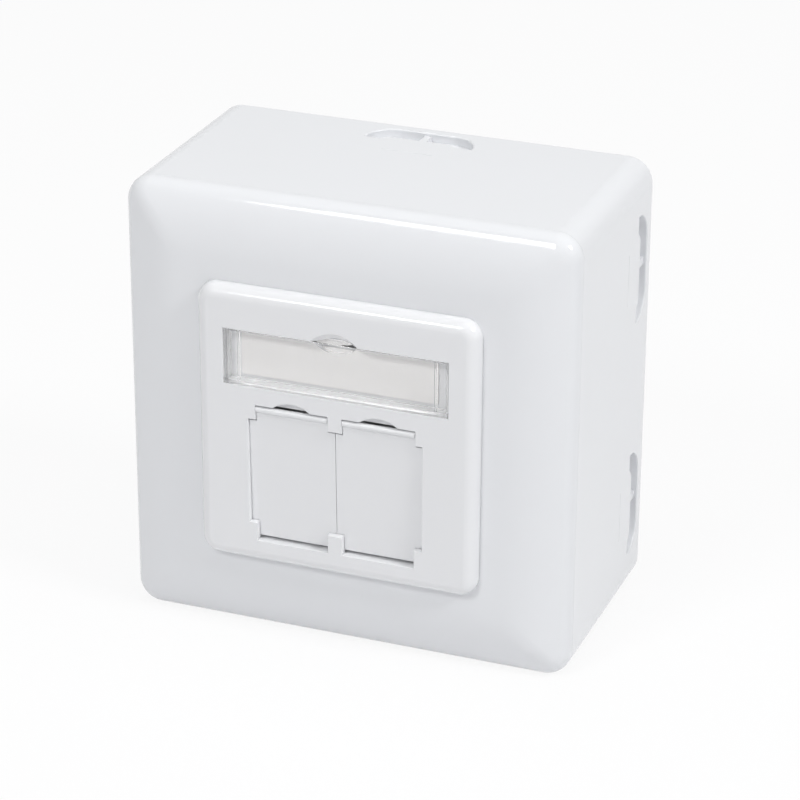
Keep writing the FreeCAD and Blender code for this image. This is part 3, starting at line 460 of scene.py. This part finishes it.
rim_top = SEAM + RIM_UPRIGHT
cover = crowned_block("crowned_frame", HALF, BOX_CORNER_R, SOFT_MITRE, SEAM, rim_top, RIM_R, FRAME_FACE)
round_edges(cover, SEAM_EDGE / 2.0, EDGE_SEGMENTS, level_with(SEAM))
cut(cover, crowned_block("hollow", HALF - FRAME_WALL, BOX_CORNER_R - FRAME_WALL, SOFT_MITRE / 2.0,
                         SEAM - PAST, rim_top, RIM_INNER_R, FRAME_FACE - FRAME_WALL))
lip_half = HALF - BOX_WALL - LIP_GAP
lip = square("lip", lip_half, (SEAM - LIP_DEPTH, SEAM + LIP_ROOT), BOX_CORNER_R - BOX_WALL - LIP_GAP)
weld(cover, cut(lip, square("lip hole", lip_half - LIP_WALL, THROUGH)))
collar = square("collar", OPENING_HALF + COLLAR_WALL, (BRACKET_FRONT, PLATE_FOOT))
weld(cover, cut(collar, square("collar hole", OPENING_HALF, THROUGH)))
cut(cover, square("seat", PLATE_HALF + SEAT_GAP, (PLATE_FOOT, FRAME_FACE + PAST), PLATE_R + SEAT_GAP),
    square("opening", OPENING_HALF, THROUGH))


def reach(a, b):
    """How far from the middle the two ends of an edge go, across or up."""
    return max(abs(a.x), abs(a.y), abs(b.x), abs(b.y))


def round_the_seat(a, b):
    """True for the edges of the seat in the frame's flat."""
    return level_with(FRAME_FACE)(a, b) and reach(a, b) < PLATE_HALF + PAST


round_edges(cover, SEAT_EDGE, EDGE_SEGMENTS, round_the_seat)
frame_plastic = white_plastic("frame_white", FRAME_WHITE, FRAME_ROUGHNESS)
finish_piece(cover, "outlet", frame_plastic, "white_plastic", "cover_frame")


# Centre plate
# The white 50 mm plate with its rounded edge, the pocket for the label window, the opening for the two
# flaps with its hinge blocks and foot tabs, and behind it the skirt and the chute that leads plugs in.
PLATE_EDGE_R = 2.2
PLATE_EDGE_SEGMENTS = 12
PLATE_WALL = 2.0
PLATE_REAR = PLATE_FACE - PLATE_WALL
SKIRT_WALL = 1.2
SINK = 0.5
WINDOW_GAP = 0.1
FIT_GAP = 0.015
WINDOW_HIGH = 9.95
POCKET_WALL = 1.2
POCKET_BASE = 1.6
CENTRE_HOLE_R = 1.55
CENTRE_HEAD_R = 2.85
CENTRE_HEAD_H = 1.3
NAIL_R = 5.75
NAIL_FLOOR_R = 4.6
NAIL_SLOPE = 1.4
NAIL_DEPTH = 2.2
NAIL_DROP = 3.85
SCOOP_SIDES = 96
MOON_R = 5.6
MOON_RISE = 1.25
MOON_SLOPE = 0.15
MOON_RUN = 0.15
MOON_DEPTH = 1.0
MOON_LAP = 0.25
PORT_PITCH = 15.6
OPENING_TOP = 4.45
OPENING_BOTTOM = -20.8
FLAP_BACK = 0.65
FLAP_FOOT_GAP = 0.6
FLAP_TILT = 1.7
FLAP_REST_GAP = 0.25
EAR_WIDTH = 1.3
EAR_HEIGHT = 2.65
CENTRE_TAB = 2.54
FOOT_HEIGHT = 3.3
FOOT_WIDTH = 1.4
FOOT_CENTRE = 2.6
OPENING_EDGE = 0.12
GLINT_TILT = math.radians(33.4)
GLINT_WIDTH = 0.42
GLINT_REACH = (2.0, 18.5)
PIN_BORE_R = 0.55
BORE_END_WALL = 0.1
CHUTE_WALL = 1.2
CHUTE_GAP = 0.1
JACK_HALF = 6.7
MOUTH_GAP = 0.3
SLANT = math.radians(45.0)
PLATE_WHITE = (0.80, 0.805, 0.82)
PLATE_ROUGHNESS = 0.14

window_x, window_up, window_out = span("label_window")
WINDOW_TOP = window_up[0] + WINDOW_HIGH
POCKET_FLOOR = window_out[0] - WINDOW_GAP
hinge = {joint["child"]: place(Vector(joint["pos_m"])) for joint in frame["joints"] if "pos_m" in joint}
HINGE_UP = hinge["flap_right"].y
HINGE_OUT = hinge["flap_right"].z
ports = [mount for mount in frame["record"]["mounts"] if mount["name"].startswith("jack_port")]
mouth = place(Vector(ports[0]["pos_m"]))
foot_reach = HINGE_UP - OPENING_BOTTOM - FLAP_FOOT_GAP
LEDGE_TOP = HINGE_OUT - FLAP_BACK - foot_reach * math.sin(math.radians(FLAP_TILT)) - FLAP_REST_GAP

plate = square("front_plate", PLATE_HALF, (PLATE_FOOT, PLATE_FACE), PLATE_R)
round_edges(plate, PLATE_EDGE_R, PLATE_EDGE_SEGMENTS, level_with(PLATE_FACE))
fit_x = window_x[1] + FIT_GAP
fit_up = (window_up[0] - FIT_GAP, WINDOW_TOP + FIT_GAP)


def chamfer(x, up, out, width):
    """Cutter for a flat that faces forwards and up, with its middle at the given place."""
    piece = block("chamfer", x, both_ways(width / 2.0), (0.0, PAST))
    piece.rotation_euler.x = -GLINT_TILT
    settle(piece)
    piece.location = Vector((0.0, -out, up)) * MM
    return settle(piece)


glint_up = fit_up[0] - GLINT_WIDTH * math.cos(GLINT_TILT) / 2.0
glint_out = PLATE_FACE - GLINT_WIDTH * math.sin(GLINT_TILT) / 2.0
for side in (-1, 1):
    cut(plate, chamfer(on_side(side, *GLINT_REACH), glint_up, glint_out, GLINT_WIDTH + 2.0 * NEAR))

skirt_in = SKIRT_HALF - SKIRT_WALL
cut(plate, square("back", skirt_in, (PLATE_FOOT - PAST, PLATE_REAR)))
skirt = square("skirt", SKIRT_HALF, (plate_out[0], PLATE_FOOT + SINK))
weld(plate, cut(skirt, square("skirt hole", skirt_in, THROUGH)))
pocket_x = window_x[1] + WINDOW_GAP
pocket_up = (window_up[0] - WINDOW_GAP, WINDOW_TOP + WINDOW_GAP)
weld(plate, block("pocket wall", both_ways(pocket_x + POCKET_WALL),
                  (pocket_up[0] - POCKET_WALL, pocket_up[1] + POCKET_WALL),
                  (POCKET_FLOOR - POCKET_BASE, PLATE_REAR + SINK)))


def slanted(piece):
    """Turn a piece drawn in the jacks' own frame into the outlet's, with its mouth in place."""
    piece.rotation_euler.x = SLANT
    settle(piece)
    piece.location = Vector((0.0, -mouth.z, mouth.y)) * MM
    return settle(piece)


cheek_in = PORT_PITCH + CHUTE_GAP
cheek_out = cheek_in + CHUTE_WALL
ramp_top = -JACK_HALF - CHUTE_GAP
ramp_low = ramp_top - CHUTE_WALL
foot_up = OPENING_BOTTOM - CHUTE_WALL
run = (LEDGE_TOP - mouth.z - ramp_top * math.sin(SLANT)) / math.cos(SLANT)
ledge_end = mouth.y + (ramp_top - run) * math.sin(SLANT)
wide = both_ways(cheek_out)
chute = block("ledge", wide, (foot_up, ledge_end), (LEDGE_TOP - CHUTE_WALL, LEDGE_TOP))
weld(chute, block("foot", wide, (foot_up, OPENING_BOTTOM), (LEDGE_TOP - CHUTE_WALL, PLATE_REAR + SINK)))
ramp = slanted(block("ramp", wide, (ramp_low, ramp_top), (MOUTH_GAP, HALF)))
weld(chute, combine(ramp, [block("below the ledge", wide, (foot_up, OPENING_TOP), (0.0, LEDGE_TOP))],
                    "INTERSECT"))
for side in (-1, 1):
    cheek = slanted(block("cheek", on_side(side, cheek_in, cheek_out), (ramp_low, HALF), (MOUTH_GAP, HALF)))
    room = block("room", ACROSS, (foot_up, OPENING_TOP), (0.0, PLATE_REAR + SINK))
    weld(chute, combine(cheek, [room], "INTERSECT"))
weld(plate, chute)


def scoop(name, radius, floor_r, slope, depth, x, up):
    """Cutter for a finger nail scoop: a straight pocket that opens as a cone at the face."""
    piece = rod(name, floor_r, depth - slope, x, up, PLATE_FACE - depth, sides=SCOOP_SIDES)
    pick(piece, "FACE", lambda part: abs(place(part.calc_center_median()).z - PLATE_FACE + slope) < NEAR)
    bpy.ops.mesh.extrude_region_move(TRANSFORM_OT_translate={"value": (0.0, -(slope + PAST) * MM, 0.0)})
    widen = (radius + PAST * (radius - floor_r) / slope) / floor_r
    bpy.ops.transform.resize(value=(widen, 1.0, widen), center_override=(x * MM, 0.0, up * MM))
    bpy.ops.object.mode_set(mode="OBJECT")
    return piece


screw_up = window_up[0] + WINDOW_HIGH / 2.0
cut(plate, block("pocket", both_ways(fit_x), fit_up, (POCKET_FLOOR, PLATE_FACE + PAST)),
    rod("screw hole", CENTRE_HOLE_R, SEAM, 0.0, screw_up, SEAM / 2.0),
    rod("countersink", CENTRE_HOLE_R, CENTRE_HEAD_H, 0.0, screw_up, POCKET_FLOOR - CENTRE_HEAD_H,
        tip=CENTRE_HEAD_R))
nail = scoop("nail", NAIL_R, NAIL_FLOOR_R, NAIL_SLOPE, NAIL_DEPTH, 0.0, WINDOW_TOP - NAIL_DROP)
above = block("above", ACROSS, (WINDOW_TOP - PAST, HALF), THROUGH)
cut(plate, combine(nail, [above], "INTERSECT"))
hole = block("flap opening", both_ways(PORT_PITCH), (OPENING_BOTTOM, OPENING_TOP),
             (LEDGE_TOP, PLATE_FACE + PAST))
deep = (LEDGE_TOP - PAST, PLATE_FACE + 2.0 * PAST)
ear_up = (OPENING_TOP - EAR_HEIGHT, OPENING_TOP + PAST)
tab_up = (OPENING_BOTTOM - PAST, OPENING_BOTTOM + FOOT_HEIGHT)
beside = PORT_PITCH + PAST
cut(hole, block("hinge block", both_ways(CENTRE_TAB / 2.0), ear_up, deep),
    block("foot block", both_ways(FOOT_CENTRE / 2.0), tab_up, deep))
for side in (-1, 1):
    cut(hole, block("ear", on_side(side, PORT_PITCH - EAR_WIDTH, beside), ear_up, deep),
        block("foot tab", on_side(side, PORT_PITCH - FOOT_WIDTH, beside), tab_up, deep))
cut(plate, hole)
for side in (-1, 1):
    moon = scoop("moon", MOON_R, MOON_R - MOON_SLOPE, MOON_RUN, MOON_DEPTH, side * PORT_PITCH / 2.0,
                 OPENING_TOP + MOON_RISE - MOON_R)
    above = block("above", ACROSS, (OPENING_TOP - MOON_LAP, HALF), THROUGH)
    cut(plate, combine(moon, [above], "INTERSECT"))
bore_half = PORT_PITCH - BORE_END_WALL
cut(plate, rod("pin bore", PIN_BORE_R, 2.0 * bore_half, -bore_half, HINGE_UP, HINGE_OUT, turn=ALONG_X))


def front_openings(a, b):
    """True for the edges of the openings in the plate's face, but not for the flat below the window."""
    inner = PLATE_HALF - PLATE_EDGE_R - PAST
    at_glint = any(fit_up[0] - GLINT_WIDTH < end.y < fit_up[0] - NEAR for end in (a, b))
    return level_with(PLATE_FACE)(a, b) and reach(a, b) < inner and not at_glint


round_edges(plate, OPENING_EDGE, EDGE_SEGMENTS, front_openings)
plate_plastic = white_plastic("plate_white", PLATE_WHITE, PLATE_ROUGHNESS)
finish_piece(plate, "outlet", plate_plastic, "white_plastic", "centre_plate")


# Dust flaps
# Two white flaps whose pins turn in the plate's hinge blocks. Each has a rounded bead along its top, and
# its foot leans in a little behind the tabs and stands clear of the ledge, so that it can be lifted.
STRIP_GAP = 0.06
FLAP_GAP = 0.05
FLAP_HALF_GAP = 0.035
FLAP_PLAY = 0.02
FLAP_FRONT = 0.45
FLAP_SHOULDER = 1.25
BEAD_R = 0.55
BEAD_UP = 0.95
BEAD_OUT = 0.36
PIN_R = 0.5
PIN_LENGTH = 1.05
CENTRE_PIN_LENGTH = 0.8
FLAP_EDGE = 0.05
FLAP_ROUGHNESS = 0.3

flap_plastic = white_plastic("flap_white", PLATE_WHITE, FLAP_ROUGHNESS)
for side, body in ((-1, "flap_left"), (1, "flap_right")):
    knee = OPENING_BOTTOM + FOOT_HEIGHT + FLAP_GAP - HINGE_UP
    tail = OPENING_BOTTOM + FLAP_FOOT_GAP - HINGE_UP
    thick = (-FLAP_BACK, FLAP_FRONT)
    strip = (CENTRE_TAB / 2.0 + STRIP_GAP, PORT_PITCH - EAR_WIDTH - STRIP_GAP)
    flap = block("dust_cover_" + body, on_side(side, FLAP_HALF_GAP, PORT_PITCH - FLAP_GAP),
                 (knee, -FLAP_SHOULDER), thick)
    foot_x = on_side(side, FOOT_CENTRE / 2.0 + FLAP_GAP, PORT_PITCH - FOOT_WIDTH - FLAP_GAP)
    weld(flap, block("foot", foot_x, (tail, knee + PAST), thick),
         block("strip", on_side(side, *strip), (-FLAP_SHOULDER - PAST, BEAD_UP), thick))
    round_edges(flap, FLAP_EDGE, EDGE_SEGMENTS, level_with(FLAP_FRONT))
    weld(flap, rod("bead", BEAD_R, strip[1] - strip[0], on_side(side, *strip)[0], BEAD_UP, BEAD_OUT,
                   turn=ALONG_X))
    pin_x = on_side(side, CENTRE_TAB / 2.0 - CENTRE_PIN_LENGTH, PORT_PITCH - EAR_WIDTH + PIN_LENGTH)
    weld(flap, rod("pin", PIN_R, pin_x[1] - pin_x[0], pin_x[0], 0.0, 0.0, turn=ALONG_X))
    flap.rotation_euler.x = math.radians(FLAP_TILT)
    settle(flap)
    flap.location = Vector((-FLAP_PLAY, -HINGE_OUT, HINGE_UP)) * MM
    settle(flap)
    finish_piece(flap, body, flap_plastic, "white_plastic", "dust_" + body)


# Label window
# A clear moulded tray that snaps into the plate's pocket: a pane with a step along its foot, walls all
# round behind it, a rib near each end and a solid round tab where a finger nail lifts it.
PANE = 1.0
END_WALL = 0.6
LONG_WALL = 0.5
RIB_WIDTH = 0.35
RIB_IN = 2.3
RIB_DEPTH = 0.6
SUNK = 0.17
SUNK_FROM = 1.2
SLOPE_WIDTH = 0.31
CLEAR_EDGE = 0.12
TAB_R = 5.5
TAB_REACH = 1.9
TAB_SIDES = 128
CLEAR_TINT = (0.985, 0.985, 0.98)
CLEAR_ROUGHNESS = 0.006
CLEAR_IOR = 1.49
CLEAR_SCALE = 500.0

pane_back = PLATE_FACE - PANE
sunk_up = window_up[0] + SUNK_FROM
slope_up = sunk_up - SLOPE_WIDTH * math.cos(GLINT_TILT) / 2.0
window = block("clear_window", window_x, (window_up[0], WINDOW_TOP), window_out)
cut(window, block("sunk face", ACROSS, (sunk_up, HALF), (PLATE_FACE - SUNK, PLATE_FACE + PAST)),
    chamfer(ACROSS, slope_up, PLATE_FACE - SUNK / 2.0, SLOPE_WIDTH))
hollow = block("behind the pane", (window_x[0] + END_WALL, window_x[1] - END_WALL),
               (window_up[0] + LONG_WALL, WINDOW_TOP - LONG_WALL), (window_out[0] - PAST, pane_back))
tab = rod("thumb tab", TAB_R, window_out[1] - window_out[0], 0.0, WINDOW_TOP - TAB_REACH + TAB_R,
          window_out[0], sides=TAB_SIDES)
cut(hollow, tab)
for side in (-1, 1):
    rib_x = on_side(side, window_x[1] - RIB_IN, window_x[1] - RIB_IN - RIB_WIDTH)
    cut(hollow, block("rib", rib_x, ACROSS, (pane_back - RIB_DEPTH, PLATE_FACE)))
cut(window, hollow)


def on_the_rim(a, b):
    """True for the edges at the top and the two ends of the tray's front."""
    at_top = min(a.y, b.y) > WINDOW_TOP - NEAR
    at_end = min(abs(a.x), abs(b.x)) > window_x[1] - NEAR and a.x * b.x > 0.0
    return min(a.z, b.z) > PLATE_FACE - SUNK - NEAR and (at_top or at_end)


round_edges(window, CLEAR_EDGE, EDGE_SEGMENTS, on_the_rim)
clear, shader, where = node_material("clear_tray", CLEAR_TINT, CLEAR_ROUGHNESS)
shader.inputs["Transmission Weight"].default_value = 1.0
shader.inputs["IOR"].default_value = CLEAR_IOR
spread(clear, noise(clear, where, CLEAR_SCALE), shader.inputs["Roughness"], 0.0, CLEAR_ROUGHNESS)
nodes = clear.node_tree.nodes
links = clear.node_tree.links
rays = nodes.new("ShaderNodeLightPath")
lit = nodes.new("ShaderNodeMath")
lit.operation = "MAXIMUM"
passing = nodes.new("ShaderNodeBsdfTransparent")
mixed = nodes.new("ShaderNodeMixShader")
links.new(rays.outputs["Is Shadow Ray"], lit.inputs[0])
links.new(rays.outputs["Is Diffuse Ray"], lit.inputs[1])
links.new(lit.outputs["Value"], mixed.inputs["Fac"])
links.new(shader.outputs["BSDF"], mixed.inputs[1])
links.new(passing.outputs["BSDF"], mixed.inputs[2])
links.new(mixed.outputs["Shader"], nodes["Material Output"].inputs["Surface"])
finish_piece(window, "window", clear, "clear_plastic", "label_window")


# Label card
# A blank slip of matt card on the floor of the pocket, behind the clear tray.
CARD_R = 0.3
CARD_SEGMENTS = 3
CARD_WHITE = (0.90, 0.885, 0.875)
CARD_ROUGHNESS = 0.75
CARD_SHIFT = 0.96
CARD_TONE_SCALE = 900.0
CARD_TONE_DETAIL = 6.0
FIBRE_SCALE = 4000.0
FIBRE_DETAIL = 4.0
FIBRE_HEIGHT = 0.00001

card = round_edges(block("blank_label", *span("label_card")), CARD_R, CARD_SEGMENTS, runs_out)
paper, shader, where = node_material("label_paper", CARD_WHITE, CARD_ROUGHNESS)
tint(paper, shader, noise(paper, where, CARD_TONE_SCALE, CARD_TONE_DETAIL), CARD_WHITE,
     [tone * CARD_SHIFT for tone in CARD_WHITE])
grain(paper, shader, noise(paper, where, FIBRE_SCALE, FIBRE_DETAIL), FIBRE_HEIGHT)
finish_piece(card, "outlet", paper, "label_card", "label_card")


# Steel, die-cast and board pieces
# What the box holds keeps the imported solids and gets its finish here: zinc-plated steel for bracket,
# clamp and screws, grainy die-cast metal for the jack carrier, lacquered green for the circuit board.
METAL_DETAIL = 4.0
METAL_SHIFT = 0.86
METAL_SMOOTHER = 0.8
METAL_ROUGHER = 1.3
METAL_FINER = 4.0
MOULD_SHIFT = 0.9
MOULD_ROUGHER = 1.3
MOULD_TONE_SCALE = 200.0
MOULD_GLOSS_SCALE = 700.0
MOULD_SKIN_SCALE = 2500.0
MOULD_SKIN_HEIGHT = 0.000006


def dress(material, *nodes):
    """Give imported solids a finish."""
    for node in nodes:
        piece = frame["nodes"][node]
        piece.data.materials.clear()
        piece.data.materials.append(material)


def metal(name, color, roughness, grain_scale, grain_height):
    """Metal whose tone and gloss wander together, with a finer grain on its skin."""
    material, shader, where = node_material(name, color, roughness, metallic=1.0)
    patches = noise(material, where, grain_scale, METAL_DETAIL)
    tint(material, shader, patches, color, [tone * METAL_SHIFT for tone in color])
    spread(material, patches, shader.inputs["Roughness"], roughness * METAL_SMOOTHER,
           roughness * METAL_ROUGHER)
    grain(material, shader, noise(material, where, grain_scale * METAL_FINER), grain_height)
    return material


dress(metal("zinc_plate", (0.66, 0.67, 0.69), roughness=0.3, grain_scale=400.0, grain_height=0.000005),
      "mounting_bracket", "bracket_screws", "centre_screw", "board_screws", "clamp_screws", "cable_clamp")
dress(metal("die_cast", (0.52, 0.52, 0.53), roughness=0.45, grain_scale=900.0, grain_height=0.00002),
      "module_housing")
dress(metal("shield_sheet", (0.72, 0.72, 0.73), roughness=0.25, grain_scale=300.0, grain_height=0.000003),
      "jack_shield_left", "jack_shield_right")
dress(metal("gold_wire", (0.86, 0.62, 0.25), roughness=0.2, grain_scale=600.0, grain_height=0.000002),
      "jack_contacts_left", "jack_contacts_right")
dress(metal("silver_blade", (0.80, 0.79, 0.76), roughness=0.28, grain_scale=600.0, grain_height=0.000003),
      "terminal_contacts_left", "terminal_contacts_right")


def moulded(name, color, roughness):
    """Dull moulding or lacquer with a fine skin."""
    material, shader, where = node_material(name, color, roughness)
    tint(material, shader, noise(material, where, MOULD_TONE_SCALE), color,
         [tone * MOULD_SHIFT for tone in color])
    spread(material, noise(material, where, MOULD_GLOSS_SCALE), shader.inputs["Roughness"], roughness,
           roughness * MOULD_ROUGHER)
    grain(material, shader, noise(material, where, MOULD_SKIN_SCALE), MOULD_SKIN_HEIGHT)
    return material


dress(moulded("jack_black", (0.025, 0.025, 0.028), roughness=0.4), "jack_body_left", "jack_body_right")
dress(moulded("terminal_ivory", (0.62, 0.60, 0.54), roughness=0.4),
      "terminal_block_left", "terminal_block_right")
dress(moulded("board_lacquer", (0.03, 0.17, 0.07), roughness=0.28), "circuit_board")


# Studio
# A white table, soft light from all round and overhead, one softbox high on the left that draws the bright
# line along the rim, one on the right for the side, and the camera at the photograph's angle.
# Here table, lamps and the camera's place are in metres, its lens and sensor in mm, and powers in watts.
TABLE_SIZE = 6.0
TABLE_WHITE = (0.86, 0.86, 0.87)
TABLE_ROUGHNESS = 0.6
TABLE_GLOW = 0.88
SOFT_TONE = (0.97, 0.985, 1.0, 1.0)
SOFT_LIGHT = 0.186
BACKDROP = 1.0
CAMERA_AZIMUTH = math.radians(20.789)
CAMERA_ELEVATION = math.radians(24.40)
CAMERA_ROLL = math.radians(0.302)
CAMERA_PLACE = Vector((0.17863, -0.48582, 0.22318))
CAMERA_LENS = 141.93
CAMERA_SENSOR = 36.0

bpy.ops.object.select_all(action="DESELECT")
bpy.ops.mesh.primitive_plane_add(size=TABLE_SIZE, location=(0.0, 0.0, box_up[0] * MM))
table = bpy.context.object
table.name = "table"
table_white, shader, _ = node_material("table_white", TABLE_WHITE, TABLE_ROUGHNESS)
nodes = table_white.node_tree.nodes
links = table_white.node_tree.links


def seen_by_eye(nodes, links, share):
    """The share of white that sight lines get, straight, mirrored or through glass, and lamps never."""
    path = nodes.new("ShaderNodeLightPath")
    mirrored = nodes.new("ShaderNodeMath")
    mirrored.operation = "MAXIMUM"
    through = nodes.new("ShaderNodeMath")
    through.operation = "MAXIMUM"
    seen = nodes.new("ShaderNodeMath")
    seen.operation = "MULTIPLY"
    seen.inputs[1].default_value = share
    links.new(path.outputs["Is Camera Ray"], mirrored.inputs[0])
    links.new(path.outputs["Is Glossy Ray"], mirrored.inputs[1])
    links.new(mirrored.outputs["Value"], through.inputs[0])
    links.new(path.outputs["Is Transmission Ray"], through.inputs[1])
    links.new(through.outputs["Value"], seen.inputs[0])
    return seen.outputs["Value"]


glow = nodes.new("ShaderNodeEmission")
mixed = nodes.new("ShaderNodeMixShader")
links.new(seen_by_eye(nodes, links, TABLE_GLOW), mixed.inputs["Fac"])
links.new(shader.outputs["BSDF"], mixed.inputs[1])
links.new(glow.outputs["Emission"], mixed.inputs[2])
links.new(mixed.outputs["Shader"], nodes["Material Output"].inputs["Surface"])
table.data.materials.append(table_white)

scene = bpy.context.scene
world = bpy.data.worlds.new("studio")
world.use_nodes = True
scene.world = world
nodes = world.node_tree.nodes
links = world.node_tree.links
soft = nodes["Background"]
soft.inputs["Color"].default_value = SOFT_TONE
soft.inputs["Strength"].default_value = SOFT_LIGHT
backdrop = nodes.new("ShaderNodeBackground")
mixed = nodes.new("ShaderNodeMixShader")
links.new(seen_by_eye(nodes, links, BACKDROP), mixed.inputs["Fac"])
links.new(soft.outputs["Background"], mixed.inputs[1])
links.new(backdrop.outputs["Background"], mixed.inputs[2])
links.new(mixed.outputs["Shader"], nodes["World Output"].inputs["Surface"])


def softbox(name, azimuth, elevation, distance, width, height, power, mirrored=True):
    """A rectangular lamp aimed at the object. Azimuth 0 is straight in front and 90 on the right."""
    sideways = Matrix.Rotation(math.radians(azimuth), 4, "Z")
    turn = sideways @ Matrix.Rotation(math.radians(90.0 - elevation), 4, "X")
    bpy.ops.object.select_all(action="DESELECT")
    bpy.ops.object.light_add(type="AREA")
    lamp = bpy.context.object
    lamp.name = name
    lamp.data.shape = "RECTANGLE"
    lamp.data.size = width
    lamp.data.size_y = height
    lamp.data.energy = power
    lamp.visible_glossy = mirrored
    lamp.matrix_world = turn @ Matrix.Translation((0.0, 0.0, distance))


softbox("key", azimuth=-17.5, elevation=41.0, distance=1.1, width=0.29, height=0.22, power=3.69)
softbox("side", azimuth=75.0, elevation=40.0, distance=1.3, width=0.28, height=0.28, power=7.53)
softbox("overhead", azimuth=0.0, elevation=88.0, distance=1.4, width=1.2, height=1.2, power=8.76,
        mirrored=False)

bpy.ops.object.camera_add()
camera = bpy.context.object
camera.data.lens = CAMERA_LENS
camera.data.sensor_width = CAMERA_SENSOR
camera.matrix_world = (Matrix.Translation(CAMERA_PLACE)
                       @ Matrix.Rotation(CAMERA_AZIMUTH, 4, "Z")
                       @ Matrix.Rotation(math.pi / 2.0 - CAMERA_ELEVATION, 4, "X")
                       @ Matrix.Rotation(CAMERA_ROLL, 4, "Z"))
scene.camera = camera
scene.view_settings.view_transform = "Standard"
